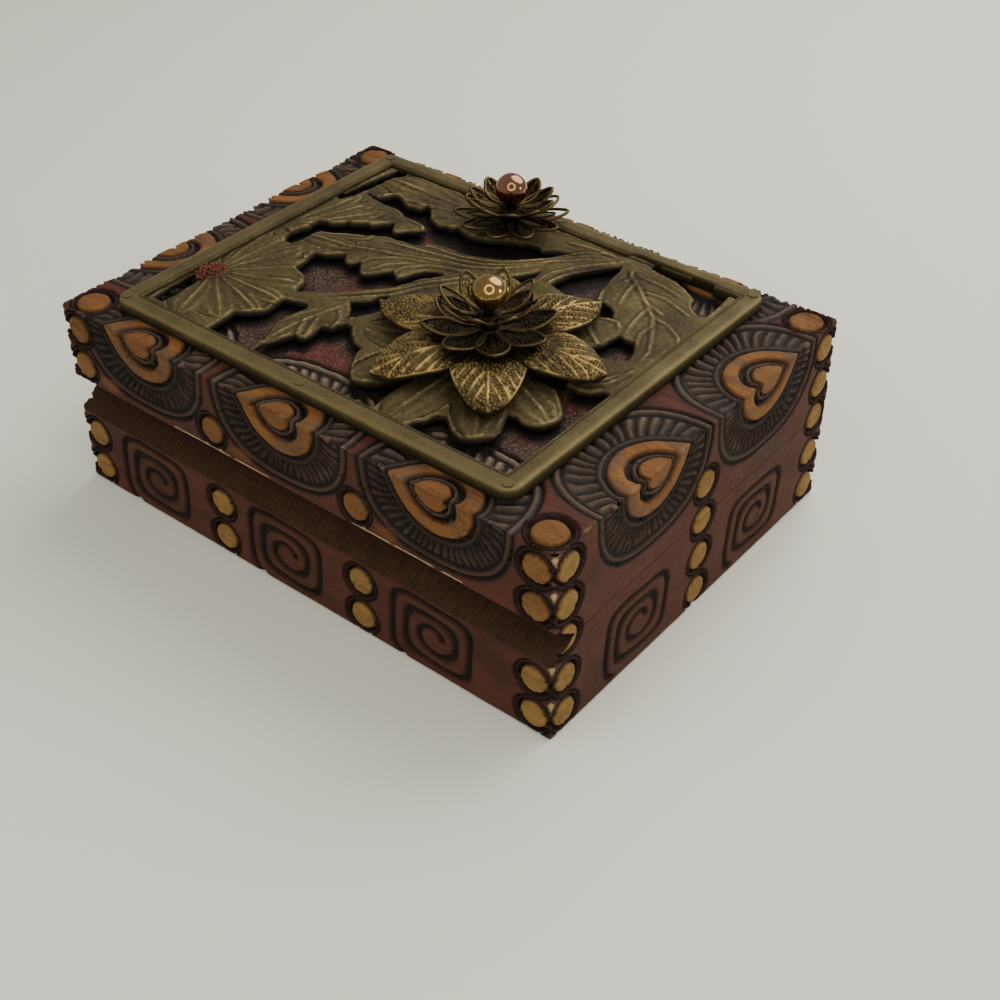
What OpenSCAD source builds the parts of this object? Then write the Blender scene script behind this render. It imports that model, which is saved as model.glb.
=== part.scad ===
// Carved keepsake box with a hinged lid and an openwork metal overlay.
// Millimetres. The origin is at the middle of the underside, +X runs along the
// long side, -Y is the front with the finger groove, +Z is up. The lid is shut.

/* [Box] */
// Length of the box along X
box_length = 150; // [142:1:170]
// Width of the box from front to back
box_width = 111.5; // [108:0.5:126]
// Height of the base
base_height = 26.4; // [24:0.2:34]
// Height of the lid, its flat top included
lid_height = 25.6; // [24:0.2:34]
// Gap between the shut lid and the base
lid_gap = 0.2; // [0.1:0.05:0.4]
// Thickness of the four walls of the base, and of the lid all round
wall = 10; // [9:0.5:13]
// Thickness of the floor board
floor_thick = 6; // [4:0.5:9]

/* [Finger groove] */
// Depth of the groove along the front
groove_depth = 7.5; // [6:0.1:8.5]
// Height of the groove where it opens on the front
groove_height = 10.7; // [8:0.1:12]

/* [Carving] */
// Depth of the carved grooves
carve_depth = 1.2; // [0.6:0.1:1.6]
// Radius of a carved disc
disc_radius = 3.5; // [3:0.1:4]
// Width of the groove round a disc
disc_groove = 1.1; // [0.8:0.1:1.3]
// Distance from a disc's centre to the nearest corner of the box
disc_inset = 5.2; // [5:0.1:6]
// Distance between the motifs on the front
motif_pitch = 45; // [43:0.5:48]
// Shift of the front motifs to the left of the middle
motif_shift = 2; // [0:0.5:4]
// Half width of a feathered fan
fan_half_width = 21; // [18:0.5:21.2]
// Reach of a fan down the side
fan_drop = 19; // [16:0.5:20]
// Reach of a fan over the top
fan_reach = 21.5; // [16:0.5:23]
// Radius of the lobes of a heart
heart_lobe = 5.2; // [4:0.1:5.6]
// Half size of a spiral panel
spiral_half = 11; // [8:0.5:11.5]
// Width of the line that bounds a fan or draws a spiral
line_width = 1.1; // [0.7:0.1:1.5]

/* [Hinges] */
// Distance of the middle of each hinge from the end of the box
hinge_inset = 30; // [25:1:40]
// Length of a hinge
hinge_length = 20; // [16:1:26]
// Depth of a hinge leaf from front to back
leaf_depth = 8; // [7:0.5:9]
// Thickness of a hinge leaf
leaf_thick = 1; // [0.8:0.1:1.2]
// Radius of the hinge barrel
barrel_radius = 1.7; // [1.5:0.05:2]
// Radius of the hinge pin
pin_radius = 0.8; // [0.6:0.05:1]
// Running clearance round the hinge pin
pin_clearance = 0.05; // [0.03:0.01:0.1]
// Distance of the hinge axis behind the back
axis_offset = 1; // [0.8:0.05:1.2]
// Gap between two knuckles
knuckle_gap = 0.3; // [0.2:0.05:0.5]
// Radius of a hinge screw's shank
screw_radius = 0.9; // [0.7:0.05:1]
// Radius of a hinge screw's head
screw_head_radius = 1.7; // [1.4:0.05:1.9]
// Length of a hinge screw
screw_length = 7; // [5:0.5:8]

/* [Overlay] */
// Mean distance of the metal overlay from the ends of the box
end_margin = 14.2; // [13:0.2:16]
// Mean distance of the metal overlay from the front and back of the box
edge_margin = 6.2; // [5.8:0.2:7.6]
// Width of the overlay's moulded rim
rim_width = 5.2; // [4.8:0.1:5.6]
// Height of the rim above the lid
rim_height = 3; // [2.6:0.1:3.6]
// Height of the underside of the leaves above the lid
leaf_lift = 0.8; // [0.4:0.1:1]
// Thickness of the leaves
leaf_sheet = 1; // [0.8:0.1:1.2]
// Radius of the pins that hold the overlay
overlay_pin_radius = 0.9; // [0.6:0.05:1]

/* [Flowers] */
// Radius of the large flower's veined petals
petal_reach = 30; // [26:0.5:32]
// Widest half width of a veined petal
petal_half_width = 7.4; // [6:0.1:8]
// Number of veined petals
petal_count = 6; // [5:1:7]
// Reach of the large flower's lower filigree layer
large_star_reach = 15.5; // [14:0.5:18]
// Reach of the large flower's upper filigree layer
large_cup_reach = 11.5; // [9:0.5:13]
// Reach of the small flower's lower filigree layer
small_star_reach = 14.5; // [12:0.5:16]
// Reach of the small flower's upper filigree layer
small_cup_reach = 11; // [9:0.5:12]
// Radius of the wire that outlines a filigree petal
wire_radius = 0.5; // [0.4:0.05:0.6]
// Radius of a bead
bead_radius = 4.1; // [3.5:0.1:4.6]
// Radius of a flower's rivet
rivet_radius = 1.2; // [0.9:0.1:1.5]

/* [Output] */
// The piece to draw

/* [Hidden] */
$fn = 48;

half_length = box_length / 2;
half_width = box_width / 2;
lid_bottom = base_height + lid_gap;
box_top = lid_bottom + lid_height;
joint_height = base_height + lid_gap / 2;
axis_y = half_width + axis_offset;
hinge_offset = half_length - hinge_inset;
disc_pitch = 10.3;
cut = 0.1;

// Places along the faces, from the middle of each face
front_motifs = [-motif_pitch - motif_shift, -motif_shift, motif_pitch - motif_shift];
front_corners = [-half_length + disc_inset, half_length - disc_inset];
front_middles = [-motif_shift - motif_pitch / 2, -motif_shift + motif_pitch / 2];
front_columns = concat(front_corners, front_middles);
side_motifs = [-box_width * 0.18, box_width * 0.22];
side_spirals = [-box_width * 0.21, box_width * 0.224];
side_corners = [-half_width + disc_inset, half_width - disc_inset];
side_columns = concat(side_corners, [0]);
base_discs = [disc_inset, disc_inset + disc_pitch];
lid_discs = [box_top - 6, box_top - 6 - disc_pitch];
lid_middle_disc = box_top - 15.4;
spiral_height = (base_height - 4) / 2;

// Colours
wood = [0.36, 0.17, 0.12];
wood_dark = [0.25, 0.14, 0.08];
brass = [0.60, 0.50, 0.28];
brass_dark = [0.45, 0.36, 0.18];
brass_bright = [0.80, 0.62, 0.30];

// ---- Frames of reference for the carved faces ----

// Draws in the plane of a side face: x to the right, y up, depth into the wood
module on_front() translate([0, -half_width, 0]) rotate([90, 0, 0]) children();
module on_back() translate([0, half_width, 0]) rotate([0, 0, 180]) rotate([90, 0, 0]) children();
module on_right() translate([half_length, 0, 0]) rotate([0, 0, 90]) rotate([90, 0, 0]) children();
module on_left() translate([-half_length, 0, 0]) rotate([0, 0, -90]) rotate([90, 0, 0]) children();
module sunk(depth) translate([0, 0, -depth]) linear_extrude(depth + cut) children();

// ---- Carved motifs ----

module disc_ring() {
    difference() {
        circle(disc_radius + disc_groove);
        circle(disc_radius);
    }
}

module disc_rings(columns, heights) {
    sunk(carve_depth) for (x = columns, y = heights) translate([x, y]) disc_ring();
}

// A rounded square whose corners tighten as power grows
function squircle(a, b, power, turn) =
    let (c = cos(turn), s = sin(turn))
    let (k = pow(pow(abs(c), power) + pow(abs(s), power), -1 / power))
    [a * k * c, b * k * s];

function squircle_ring(a, b, power, steps) =
    [for (i = [0 : steps - 1]) squircle(a, b, power, 360 * i / steps)];

fan_power = 2.6;
fan_steps = 48;

// The bounding line of a fan, centred on the top edge of the box
module fan_line(half, reach) {
    difference() {
        polygon(squircle_ring(half, reach, fan_power, fan_steps));
        polygon(squircle_ring(half - line_width, reach - line_width, fan_power, fan_steps));
    }
}

// A heart that lies on its side, its point towards -x
module heart(lobe) {
    point = lobe * 2.9;
    rise = lobe * 0.86;
    for (side = [-1, 1]) translate([0, side * rise]) circle(lobe);
    polygon([[-point, 0], [-lobe * 0.45, rise + lobe * 0.89], [lobe * 0.3, 0],
        [-lobe * 0.45, -rise - lobe * 0.89]]);
}

// The raised ring of a heart is left between two grooves
module heart_lines() {
    difference() {
        heart(heart_lobe * 0.62);
        heart(heart_lobe * 0.36);
    }
    difference() {
        heart(heart_lobe + line_width);
        heart(heart_lobe);
    }
}

// A line that winds inwards as a rounded square
spiral_steps = 40;
spiral_turns = 2.2;
function spiral_point(t, shift) =
    let (size = spiral_half * (1 - 0.74 * t) + shift)
    squircle(size, size, 4 - 2 * t, 250 - 360 * spiral_turns * t);

module spiral() {
    outer = [for (i = [0 : spiral_steps]) spiral_point(i / spiral_steps, 0)];
    inner = [for (i = [spiral_steps : -1 : 0]) spiral_point(i / spiral_steps, -line_width)];
    polygon(concat(outer, inner));
}

module base_carving(motifs, columns) {
    disc_rings(columns, base_discs);
    sunk(carve_depth) for (x = motifs) translate([x, spiral_height]) spiral();
}

module fans(motifs, reach, facing) {
    for (x = motifs) translate([x, box_top]) {
        sunk(carve_depth) mirror([facing, 0]) heart_lines();
        sunk(carve_depth / 2) fan_line(fan_half_width, reach);
    }
}

module lid_carving(motifs, corners, middles, facing) {
    disc_rings(corners, lid_discs);
    disc_rings(middles, [lid_middle_disc]);
    fans(motifs, fan_drop, facing);
}

module top_fans(motifs, across) {
    for (x = motifs) translate([x, across]) {
        sunk(carve_depth) heart_lines();
        sunk(carve_depth / 2) fan_line(fan_half_width, fan_reach);
    }
}

module top_carving() {
    translate([0, 0, box_top]) {
        top_fans(front_motifs, -half_width);
        rotate(90) top_fans(side_motifs, -half_length);
        rotate(180) top_fans(front_motifs, -half_width);
        rotate(-90) top_fans(side_motifs, -half_length);
        sunk(carve_depth) {
            for (x = [-1, 1], y = [-1, 1])
                translate([x * (half_length - disc_inset - 0.6), y * (half_width - disc_inset - 0.6)])
                    disc_ring();
        }
    }
}

// Discs that straddle the joint between base and lid
module joint_discs() {
    on_right() disc_rings([0, half_width - disc_inset], [joint_height]);
    on_left() disc_rings([0, -half_width + disc_inset], [joint_height]);
}

module all_base_carving() {
    on_front() base_carving(front_motifs, front_columns);
    on_back() base_carving(front_motifs, front_columns);
    on_right() base_carving(side_spirals, side_columns);
    on_left() base_carving(side_spirals, side_columns);
    joint_discs();
}

module all_lid_carving() {
    on_front() lid_carving(front_motifs, front_corners, front_middles, 0);
    on_back() lid_carving(front_motifs, front_corners, front_middles, 0);
    on_right() lid_carving(side_motifs, side_corners, [0], 1);
    on_left() lid_carving(side_motifs, side_corners, [0], 1);
    top_carving();
    joint_discs();
}

// ---- Boards ----

// Plan of a mitred wall board on the front of a box of the given size
module mitred_plan(length, width) {
    polygon([[-length / 2, -width / 2], [length / 2, -width / 2],
        [length / 2 - wall, -width / 2 + wall], [-length / 2 + wall, -width / 2 + wall]]);
}

module base_board(length, width, turn) {
    difference() {
        rotate(turn) linear_extrude(base_height) mitred_plan(length, width);
        all_base_carving();
        finger_groove();
        if (turn == 180) hinge_seats();
    }
}

// Section of a lid wall: upright outside, mitred to the top board at 45 degrees
module lid_wall_solid(length, width) {
    rotate([90, 0, 90])
        linear_extrude(length, center = true)
            polygon([[-width / 2, lid_bottom], [-width / 2 + wall, lid_bottom],
                [-width / 2 + wall, box_top - wall], [-width / 2, box_top]]);
}

module lid_board(length, width, turn) {
    difference() {
        rotate(turn) intersection() {
            lid_wall_solid(length, width);
            linear_extrude(box_top + 1) mitred_plan(length, width);
        }
        all_lid_carving();
        finger_groove();
        if (turn == 180) hinge_seats();
    }
}

// The groove that the fingers lift the lid by
module finger_groove() {
    translate([0, -half_width, joint_height])
        rotate([90, 0, 90])
            linear_extrude(box_length + 2, center = true)
                polygon([[-cut, -groove_height / 2], [groove_depth, 0], [-cut, groove_height / 2]]);
}

module base_front() color(wood_dark) base_board(box_length, box_width, 0);
module base_back() color(wood_dark) base_board(box_length, box_width, 180);
module base_left() color(wood) base_board(box_width, box_length, -90);
module base_right() color(wood) base_board(box_width, box_length, 90);

module base_floor() {
    color(wood_dark)
        translate([-half_length + wall, -half_width + wall, 0])
            cube([box_length - 2 * wall, box_width - 2 * wall, floor_thick]);
}

module lid_front() color(wood_dark) lid_board(box_length, box_width, 0);
module lid_back() color(wood_dark) lid_board(box_length, box_width, 180);
module lid_left() color(wood) lid_board(box_width, box_length, -90);
module lid_right() color(wood) lid_board(box_width, box_length, 90);

// The top board is bevelled at 45 degrees on all four edges
module lid_top() {
    color(wood) difference() {
        intersection() {
            top_slab(box_length, box_width);
            rotate(90) top_slab(box_width, box_length);
        }
        top_carving();
        at_overlay_pins() overlay_pin(1);
    }
}

module top_slab(length, width) {
    rotate([90, 0, 90])
        linear_extrude(length, center = true)
            polygon([[-width / 2, box_top], [-width / 2 + wall, box_top - wall],
                [width / 2 - wall, box_top - wall], [width / 2, box_top]]);
}

// ---- Hinges ----

knuckle = (hinge_length - 2 * knuckle_gap) / 3;

// A knuckle of the barrel with its bore for the pin
module knuckle_tube(start) {
    translate([start, axis_y, joint_height])
        rotate([0, 90, 0])
            difference() {
                cylinder(r = barrel_radius, h = knuckle);
                translate([0, 0, -1]) cylinder(r = pin_radius + pin_clearance, h = knuckle + 2);
            }
}

// The web between the flat leaf and its knuckle, hollowed for the pin
module knuckle_web(start, level) {
    difference() {
        translate([start, axis_y - barrel_radius - 0.4, level])
            cube([knuckle, barrel_radius + 0.4, leaf_thick]);
        translate([start - 1, axis_y, joint_height])
            rotate([0, 90, 0])
                cylinder(r = pin_radius + pin_clearance, h = knuckle + 2);
    }
}

function leaf_screw_places() = [for (x = [-1, 1]) [x * hinge_length / 3.4,
    axis_y - barrel_radius - 0.4 - leaf_depth / 2]];

module leaf_plate(level) {
    translate([-hinge_length / 2, axis_y - barrel_radius - 0.4 - leaf_depth, level])
        cube([hinge_length, leaf_depth, leaf_thick]);
}

module countersink_pair(level, up) {
    for (place = leaf_screw_places())
        translate([place[0], place[1], level])
            mirror([0, 0, up ? 0 : 1])
                screw_shape(0);
}

// A countersunk screw whose head is at z = 0 and whose shank points down
module screw_shape(slot) {
    difference() {
        union() {
            translate([0, 0, -leaf_thick * 0.8])
                cylinder(r1 = screw_radius, r2 = screw_head_radius, h = leaf_thick * 0.8);
            translate([0, 0, -screw_length]) cylinder(r = screw_radius, h = screw_length);
        }
        if (slot > 0) translate([-2, -slot / 2, -0.35]) cube([4, slot, 1]);
    }
}

module base_leaf() {
    difference() {
        leaf_plate(base_height - leaf_thick);
        countersink_pair(base_height, true);
    }
    for (start = [-hinge_length / 2, hinge_length / 2 - knuckle]) {
        knuckle_web(start, base_height - leaf_thick);
        knuckle_tube(start);
    }
}

module lid_leaf() {
    difference() {
        leaf_plate(lid_bottom);
        countersink_pair(lid_bottom, false);
    }
    knuckle_web(-knuckle / 2, lid_bottom);
    knuckle_tube(-knuckle / 2);
}

module hinge_pin() {
    translate([-hinge_length / 2 - 0.4, axis_y, joint_height])
        rotate([0, 90, 0])
            cylinder(r = pin_radius, h = hinge_length + 0.8);
}

// Recesses in the wood for the leaves, the barrel and the screws
module hinge_seats() {
    for (side = [-1, 1]) translate([side * hinge_offset, 0, 0]) {
        leaf_plate(base_height - leaf_thick);
        translate([0, 0, lid_gap + leaf_thick]) leaf_plate(base_height - leaf_thick);
        translate([-hinge_length / 2 - 0.6, axis_y - barrel_radius - 0.4,
            joint_height - barrel_radius - 0.3])
            cube([hinge_length + 1.2, barrel_radius + 2, 2 * barrel_radius + 0.6]);
        countersink_pair(base_height, true);
        countersink_pair(lid_bottom, false);
    }
}

module at_left() translate([-hinge_offset, 0, 0]) children();
module at_right() translate([hinge_offset, 0, 0]) children();

module hinge_left_base_leaf() color(brass) at_left() base_leaf();
module hinge_right_base_leaf() color(brass) at_right() base_leaf();
module hinge_left_lid_leaf() color(brass) at_left() lid_leaf();
module hinge_right_lid_leaf() color(brass) at_right() lid_leaf();
module hinge_left_pin() color(brass_dark) at_left() hinge_pin();
module hinge_right_pin() color(brass_dark) at_right() hinge_pin();

screw_slot = 0.5;
module hinge_screws(level, up) {
    for (side = [-1, 1], place = leaf_screw_places())
        translate([side * hinge_offset + place[0], place[1], level])
            mirror([0, 0, up ? 0 : 1])
                screw_shape(screw_slot);
}
module base_hinge_screws() color(brass_dark) hinge_screws(base_height, true);
module lid_hinge_screws() color(brass_dark) hinge_screws(lid_bottom, false);

// ---- Metal overlay ----

overlay_length = box_length - 2 * end_margin;
overlay_width = box_width - 2 * edge_margin;
half_ol = overlay_length / 2;
half_ow = overlay_width / 2;
overlay_place = [-2.4, 0.6];
inner_x = half_ol - rim_width;
inner_y = half_ow - rim_width;

// The openwork and the flowers are laid out for an overlay of 121.6 x 99.1 and stretch with it
function laid_out(point) = [point[0] * overlay_length / 121.6, point[1] * overlay_width / 99.1];
large_centre = laid_out([20.5, -9]);
small_centre = laid_out([-10.8, 38.3]);

// Slots along the rim
slot_top_left = [[-55.2, 44.4], [-52.1, 44.6], [-51.8, 42], [-53.2, 40.4], [-53.8, 36], [-54.3, 30],
    [-54.8, 26], [-56.4, 22.7], [-57.6, 23], [-57.3, 28], [-56.6, 35], [-55.8, 41]];
slot_bottom_left = [[-57, -27.2], [-55.6, -29], [-54.2, -30.2], [-53.7, -33.4], [-53.5, -38],
    [-53.6, -41.6], [-56.4, -41.6], [-57.2, -36], [-57.4, -30]];
slot_top_right = [[28.6, 46.2], [31, 45.3], [38, 45.4], [44, 46], [49.6, 46.4], [50.4, 45],
    [51, 40], [51.2, 34], [50.6, 32.6], [48.6, 33.6], [46.6, 35.2], [45.8, 36.6], [45.2, 38.4],
    [43, 39.8], [40.4, 41.4], [37.6, 42.6], [34.6, 43.3], [31.4, 43.6], [28.8, 44.2]];

// Opening round the feathered leaf, from the small flower to the left rim and back
beside_feathered_leaf = [[9.2, 37.6], [5.5, 36.3], [2.3, 33.9], [0.5, 34.8], [-2, 34.5], [-6, 33],
    [-9.5, 31], [-12, 29.3], [-16.8, 28.1], [-19.6, 28.8], [-21.6, 29.8], [-22.4, 28.5],
    [-24.8, 28.3], [-26.4, 27.5], [-28.2, 28], [-30.4, 29], [-31.8, 30.6], [-33.6, 32.8],
    [-35.2, 33.6], [-35.7, 31.4], [-37, 31], [-39.5, 30.3], [-41.6, 31.2], [-43.8, 32.6],
    [-45.2, 33], [-46.4, 32.8], [-47, 30.6], [-48.5, 29], [-52.4, 29.3], [-49, 28.4], [-45, 27.9],
    [-41, 28], [-38.8, 27.6], [-36.2, 26.2], [-33.5, 26.1], [-30, 26], [-28, 24.9],
    [-26.8, 23.4], [-28.8, 21.8], [-30.4, 20.4], [-31.6, 18.4], [-33, 17.5], [-34.4, 18.8],
    [-36, 21.5], [-37.4, 19.4], [-39.7, 16.7], [-41.4, 16.9], [-43.2, 15.3], [-44.9, 14.3],
    [-45.6, 14.7], [-46.6, 12.7], [-48.4, 11.1], [-50.6, 10.9], [-52.1, 10.2], [-52.2, 7.8],
    [-51.5, 6.4], [-52.8, 4.2], [-53.3, 1], [-52.6, -1], [-50.6, -2.9], [-49.3, -1.8],
    [-48.7, 1.5], [-48.5, 5], [-47.8, 6.6], [-44.6, 8], [-40.6, 10.3], [-37.2, 12.2],
    [-34.6, 14.2], [-32.8, 15.4], [-28.5, 15.8], [-24.8, 16.4], [-22.4, 17.3], [-20.3, 20.2],
    [-16, 20.5], [-11.4, 20.6], [-8, 21.9], [-4.5, 23.6], [-1.5, 25.5], [1.5, 27.8], [4, 30.4],
    [6.4, 34]];

// Opening between the long serrated leaf and the branch below it
below_long_leaf = [[-41, -2.2], [-38.6, -1.6], [-36.4, 0.4], [-34.8, 1.8], [-33.2, -0.2],
    [-31.8, -1.2], [-30.6, -0.8], [-29.1, 1.2], [-27.8, -0.6], [-26.2, -2.5], [-24.8, -3],
    [-23.4, -1.8], [-21.6, 0.8], [-20, 2.8], [-18.2, 1.8], [-16.8, 0.8], [-15.8, 2.6],
    [-15, 5.6], [-13.8, 7.8], [-11.8, 9.2], [-9.7, 9.8], [-9.2, 8.9], [-11, 6.6], [-12.8, 4.2],
    [-13.7, 1], [-15.2, -2.4], [-18.2, -6], [-20.6, -8.6], [-23, -11.6], [-25.4, -14.4],
    [-29.4, -16.6], [-31.6, -18.2], [-32.4, -17.2], [-32.8, -14.2], [-35.2, -11.6],
    [-39.8, -10.3], [-40.2, -6.4], [-41, -4]];

// Openings round the small leaf that hangs from the branch
left_of_small_leaf = [[-31.5, -23], [-28.6, -22], [-25.8, -21.1], [-24.6, -22.2], [-25.2, -25],
    [-26, -28], [-25.4, -31.6], [-24.2, -35], [-22.8, -38.6], [-22.4, -43.9], [-36, -43.9],
    [-36.1, -37], [-36.4, -34.4], [-33.6, -32.6], [-31.4, -30.2], [-30.8, -28.4], [-31.3, -26]];
above_small_leaf = [[-13.2, -6.5], [-11.7, -7.5], [-12.1, -9.6], [-10.2, -12.4], [-11.2, -15.4],
    [-12.9, -18.4], [-13.9, -19.4], [-14.6, -18], [-16, -16], [-18.1, -13.9], [-16.4, -12.2],
    [-14.7, -10.4], [-14.3, -8.4]];
right_of_small_leaf = [[-12.4, -21.8], [-10.4, -22], [-8.6, -24.3], [-5.6, -26.5], [-2.6, -27.2],
    [-2.4, -29], [-1, -31.6], [0.3, -34], [2.2, -36.5], [4.6, -38.3], [7.6, -37.4], [10.4, -35],
    [12.2, -31.8], [13.4, -29], [15, -28.8], [14.5, -32], [14.2, -36], [15, -41.5], [15, -43.9],
    [-21.4, -43.9], [-21.4, -40.4], [-20, -37.4], [-18.4, -32.8], [-16.6, -33], [-15.2, -32.3],
    [-15.2, -30], [-15.9, -26.4], [-14.4, -25.6], [-13.2, -25.4], [-13.1, -23.6]];

// Opening round the lower petals of the large flower, in the bottom right corner
bottom_right = [[25.8, -43.9], [25.8, -41.6], [27.6, -39.4], [28.2, -36.6], [29.8, -35.6],
    [31.6, -36.8], [34, -38.8], [37, -39.8], [39.2, -38.8], [41, -37], [42.6, -34.6],
    [42.6, -32.4], [41.2, -29.8], [39.8, -26.6], [41.6, -26.2], [44, -27], [46.4, -26.8],
    [48.2, -25.6], [49.6, -23.4], [50, -21], [49.2, -18.8], [47.4, -16.8], [45.4, -14.8],
    [42.5, -12.4], [38.6, -11.9], [35.8, -12.6], [34.3, -10.6], [38.2, -8], [41, -5.5],
    [43.5, -3], [45.4, -1], [46.7, -1.2], [45.6, -4.6], [43.4, -6.8], [41.6, -8.6], [43, -10.1],
    [46.6, -10.2], [49.2, -8.8], [50.8, -6.8], [53.3, -6.8], [53.3, -43.9]];

// Eye of the broad leaf, and the gaps between its lobes and the flowers
leaf_eye = [[40.3, 13.9], [42.2, 13.3], [44.6, 13.6], [46, 11.6], [47, 9.4], [47.6, 7], [45, 5],
    [42, 4.2], [39.6, 5], [38.4, 6.3], [39.7, 8.8], [39.9, 11.4]];
broad_leaf_notch = [[27, 23], [28.6, 23.4], [31, 23], [33.2, 21.4], [34.4, 19.2], [33.4, 18.2],
    [31, 17.6], [30.2, 16], [29, 19], [27.6, 21.4]];
left_of_broad_leaf = [[22.4, 40.1], [23.3, 37.6], [23.4, 34.8], [24.3, 31.2], [25, 27.6],
    [26.2, 23.8], [25.8, 21.6], [20, 21], [14.2, 22.6], [14.2, 24.6], [15.3, 29.8], [17.6, 33.6],
    [20.2, 37.4]];
between_flowers = [[8.5, 25.4], [8.8, 22.4], [8.7, 18.6], [8, 17], [5.6, 16.2], [3.4, 17.4],
    [5.6, 20.4], [7.2, 23.2]];

module openings() {
    for (outline = [slot_top_left, slot_bottom_left, slot_top_right, beside_feathered_leaf,
        below_long_leaf, left_of_small_leaf, above_small_leaf, right_of_small_leaf, bottom_right,
        leaf_eye, broad_leaf_notch, left_of_broad_leaf, between_flowers])
        polygon([for (point = outline) laid_out(point)]);
}

module rounded_plate(half_x, half_y, radius) {
    for (x = [-1, 1], y = [-1, 1])
        translate([x * (half_x - radius), y * (half_y - radius)]) circle(radius);
    square([2 * half_x, 2 * (half_y - radius)], center = true);
    square([2 * (half_x - radius), 2 * half_y], center = true);
}

// Plan of the rim, its outer and inner edges set back by the given distances
corner_radius = 4;
module rim_plan(outer, inner) {
    translate(overlay_place) difference() {
        rounded_plate(half_ol - outer, half_ow - outer, corner_radius - outer);
        square([2 * (inner_x + inner), 2 * (inner_y + inner)], center = true);
    }
}

// The rim steps up from its inner edge to a flat top
rim_step = 0.8;
module overlay_plate() {
    color(brass) difference() {
        translate([0, 0, box_top]) {
            linear_extrude(rim_height - rim_step) difference() {
                rim_plan(0, 0);
                openings();
            }
            linear_extrude(rim_height) rim_plan(rim_step, 2 * rim_step);
            translate([0, 0, leaf_lift]) linear_extrude(leaf_sheet) difference() {
                translate(overlay_place) square([2 * inner_x + 1, 2 * inner_y + 1], center = true);
                openings();
            }
        }
        at_overlay_pins() overlay_pin(1);
        rivet_hole(large_centre);
        rivet_hole(small_centre);
    }
}

function overlay_pin_places() = concat(
    [for (x = [-1, 1], y = [-1, 1]) [x * (half_ol - 2.7), y * (half_ow - 2.7)]],
    [for (y = [-1, 1]) [0, y * (half_ow - 2.2)]]);

pin_length = 5;
pin_head_sink = 0.3;
pin_head_rise = 0.2;

// A pin with its head let into the rim; more makes the head taller, for a hole
module overlay_pin(more) {
    cylinder(r = overlay_pin_radius, h = pin_length + rim_height);
    translate([0, 0, pin_length + rim_height - pin_head_sink])
        cylinder(r = overlay_pin_radius + 0.4, h = pin_head_sink + pin_head_rise + more);
}

module at_overlay_pins() {
    for (place = overlay_pin_places())
        translate([place[0] + overlay_place[0], place[1] + overlay_place[1], box_top - pin_length])
            children();
}

module overlay_pins() color(brass_bright) at_overlay_pins() overlay_pin(0);

// ---- Flowers ----

sheet_top = box_top + leaf_lift + leaf_sheet;
petal_level = sheet_top + 2;
hub_thick = 1.2;
star_level = petal_level + 3.4;
cup_level = star_level + 3.5;
small_star_level = sheet_top + 3;
small_cup_level = small_star_level + 2.6;
bead_rise = 6.1;
small_bead_rise = 5.6;
bore_gap = 0.05;
shoulder_radius = rivet_radius + 0.8;

module rivet_hole(centre) {
    translate([centre[0], centre[1], box_top - 1])
        cylinder(r = rivet_radius + bore_gap, h = 6);
}

// One veined petal, swept from its root to its tip
petal_rows = 12;
petal_columns = 10;
petal_sheet = 0.7;
petal_gap = 0.3;
petal_lift = 0.23;

function veined_height(t, s) =
    2.6 * sin(165 * t) - 1.2 * t * s * s + 0.35 * cos(1080 * (s + 0.35 * t * sign(s))) * sin(180 * t)
    + 0.5 * (1 - min(1, abs(s) * 5));

function veined_point(t, s, level) =
    let (reach = 4 + (petal_reach - 4) * t * (1 - 0.05 * s * s))
    let (full = 1 + petal_half_width * pow(sin(176 * pow(t, 0.9) + 4), 0.62))
    let (half = min(full * (1 - 0.55 * pow(t, 6)), reach * tan(180 / petal_count) - petal_gap))
    [reach, s * half, level + veined_height(t, s)];

function grid_points(level) = [for (i = [0 : petal_rows], j = [0 : petal_columns])
    veined_point(i / petal_rows, 2 * j / petal_columns - 1, level)];

// Faces of a sheet with an upper and a lower grid of points
function at(i, j, below) = i * (petal_columns + 1) + j
    + (below ? (petal_rows + 1) * (petal_columns + 1) : 0);
function quad(a, b, c, d) = [[a, b, c], [a, c, d]];
function flat_list(lists) = [for (part = lists, item = part) item];

function sheet_faces() = flat_list(concat(
    [for (i = [0 : petal_rows - 1], j = [0 : petal_columns - 1])
        quad(at(i, j, false), at(i, j + 1, false), at(i + 1, j + 1, false), at(i + 1, j, false))],
    [for (i = [0 : petal_rows - 1], j = [0 : petal_columns - 1])
        quad(at(i, j, true), at(i + 1, j, true), at(i + 1, j + 1, true), at(i, j + 1, true))],
    [for (i = [0 : petal_rows - 1])
        quad(at(i, 0, false), at(i + 1, 0, false), at(i + 1, 0, true), at(i, 0, true))],
    [for (i = [0 : petal_rows - 1])
        quad(at(i, petal_columns, false), at(i, petal_columns, true),
            at(i + 1, petal_columns, true), at(i + 1, petal_columns, false))],
    [for (j = [0 : petal_columns - 1])
        quad(at(0, j, false), at(0, j, true), at(0, j + 1, true), at(0, j + 1, false))],
    [for (j = [0 : petal_columns - 1])
        quad(at(petal_rows, j, false), at(petal_rows, j + 1, false),
            at(petal_rows, j + 1, true), at(petal_rows, j, true))]));

module veined_petal() {
    polyhedron(concat(grid_points(petal_sheet), grid_points(0)), sheet_faces());
}

first_petal = 8;
hub_turn = 17;
hub_radius = petal_reach * 0.207;
module large_flower_petals() {
    color(brass_dark) translate([large_centre[0], large_centre[1], petal_level]) {
        rotate(hub_turn) difference() {
            cylinder(r = hub_radius, h = hub_thick);
            translate([0, 0, -1]) cylinder(r = rivet_radius + bore_gap, h = hub_thick + 2);
        }
        translate([0, 0, petal_lift])
            for (i = [0 : petal_count - 1]) rotate(first_petal + 360 * i / petal_count) veined_petal();
    }
}

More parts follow.
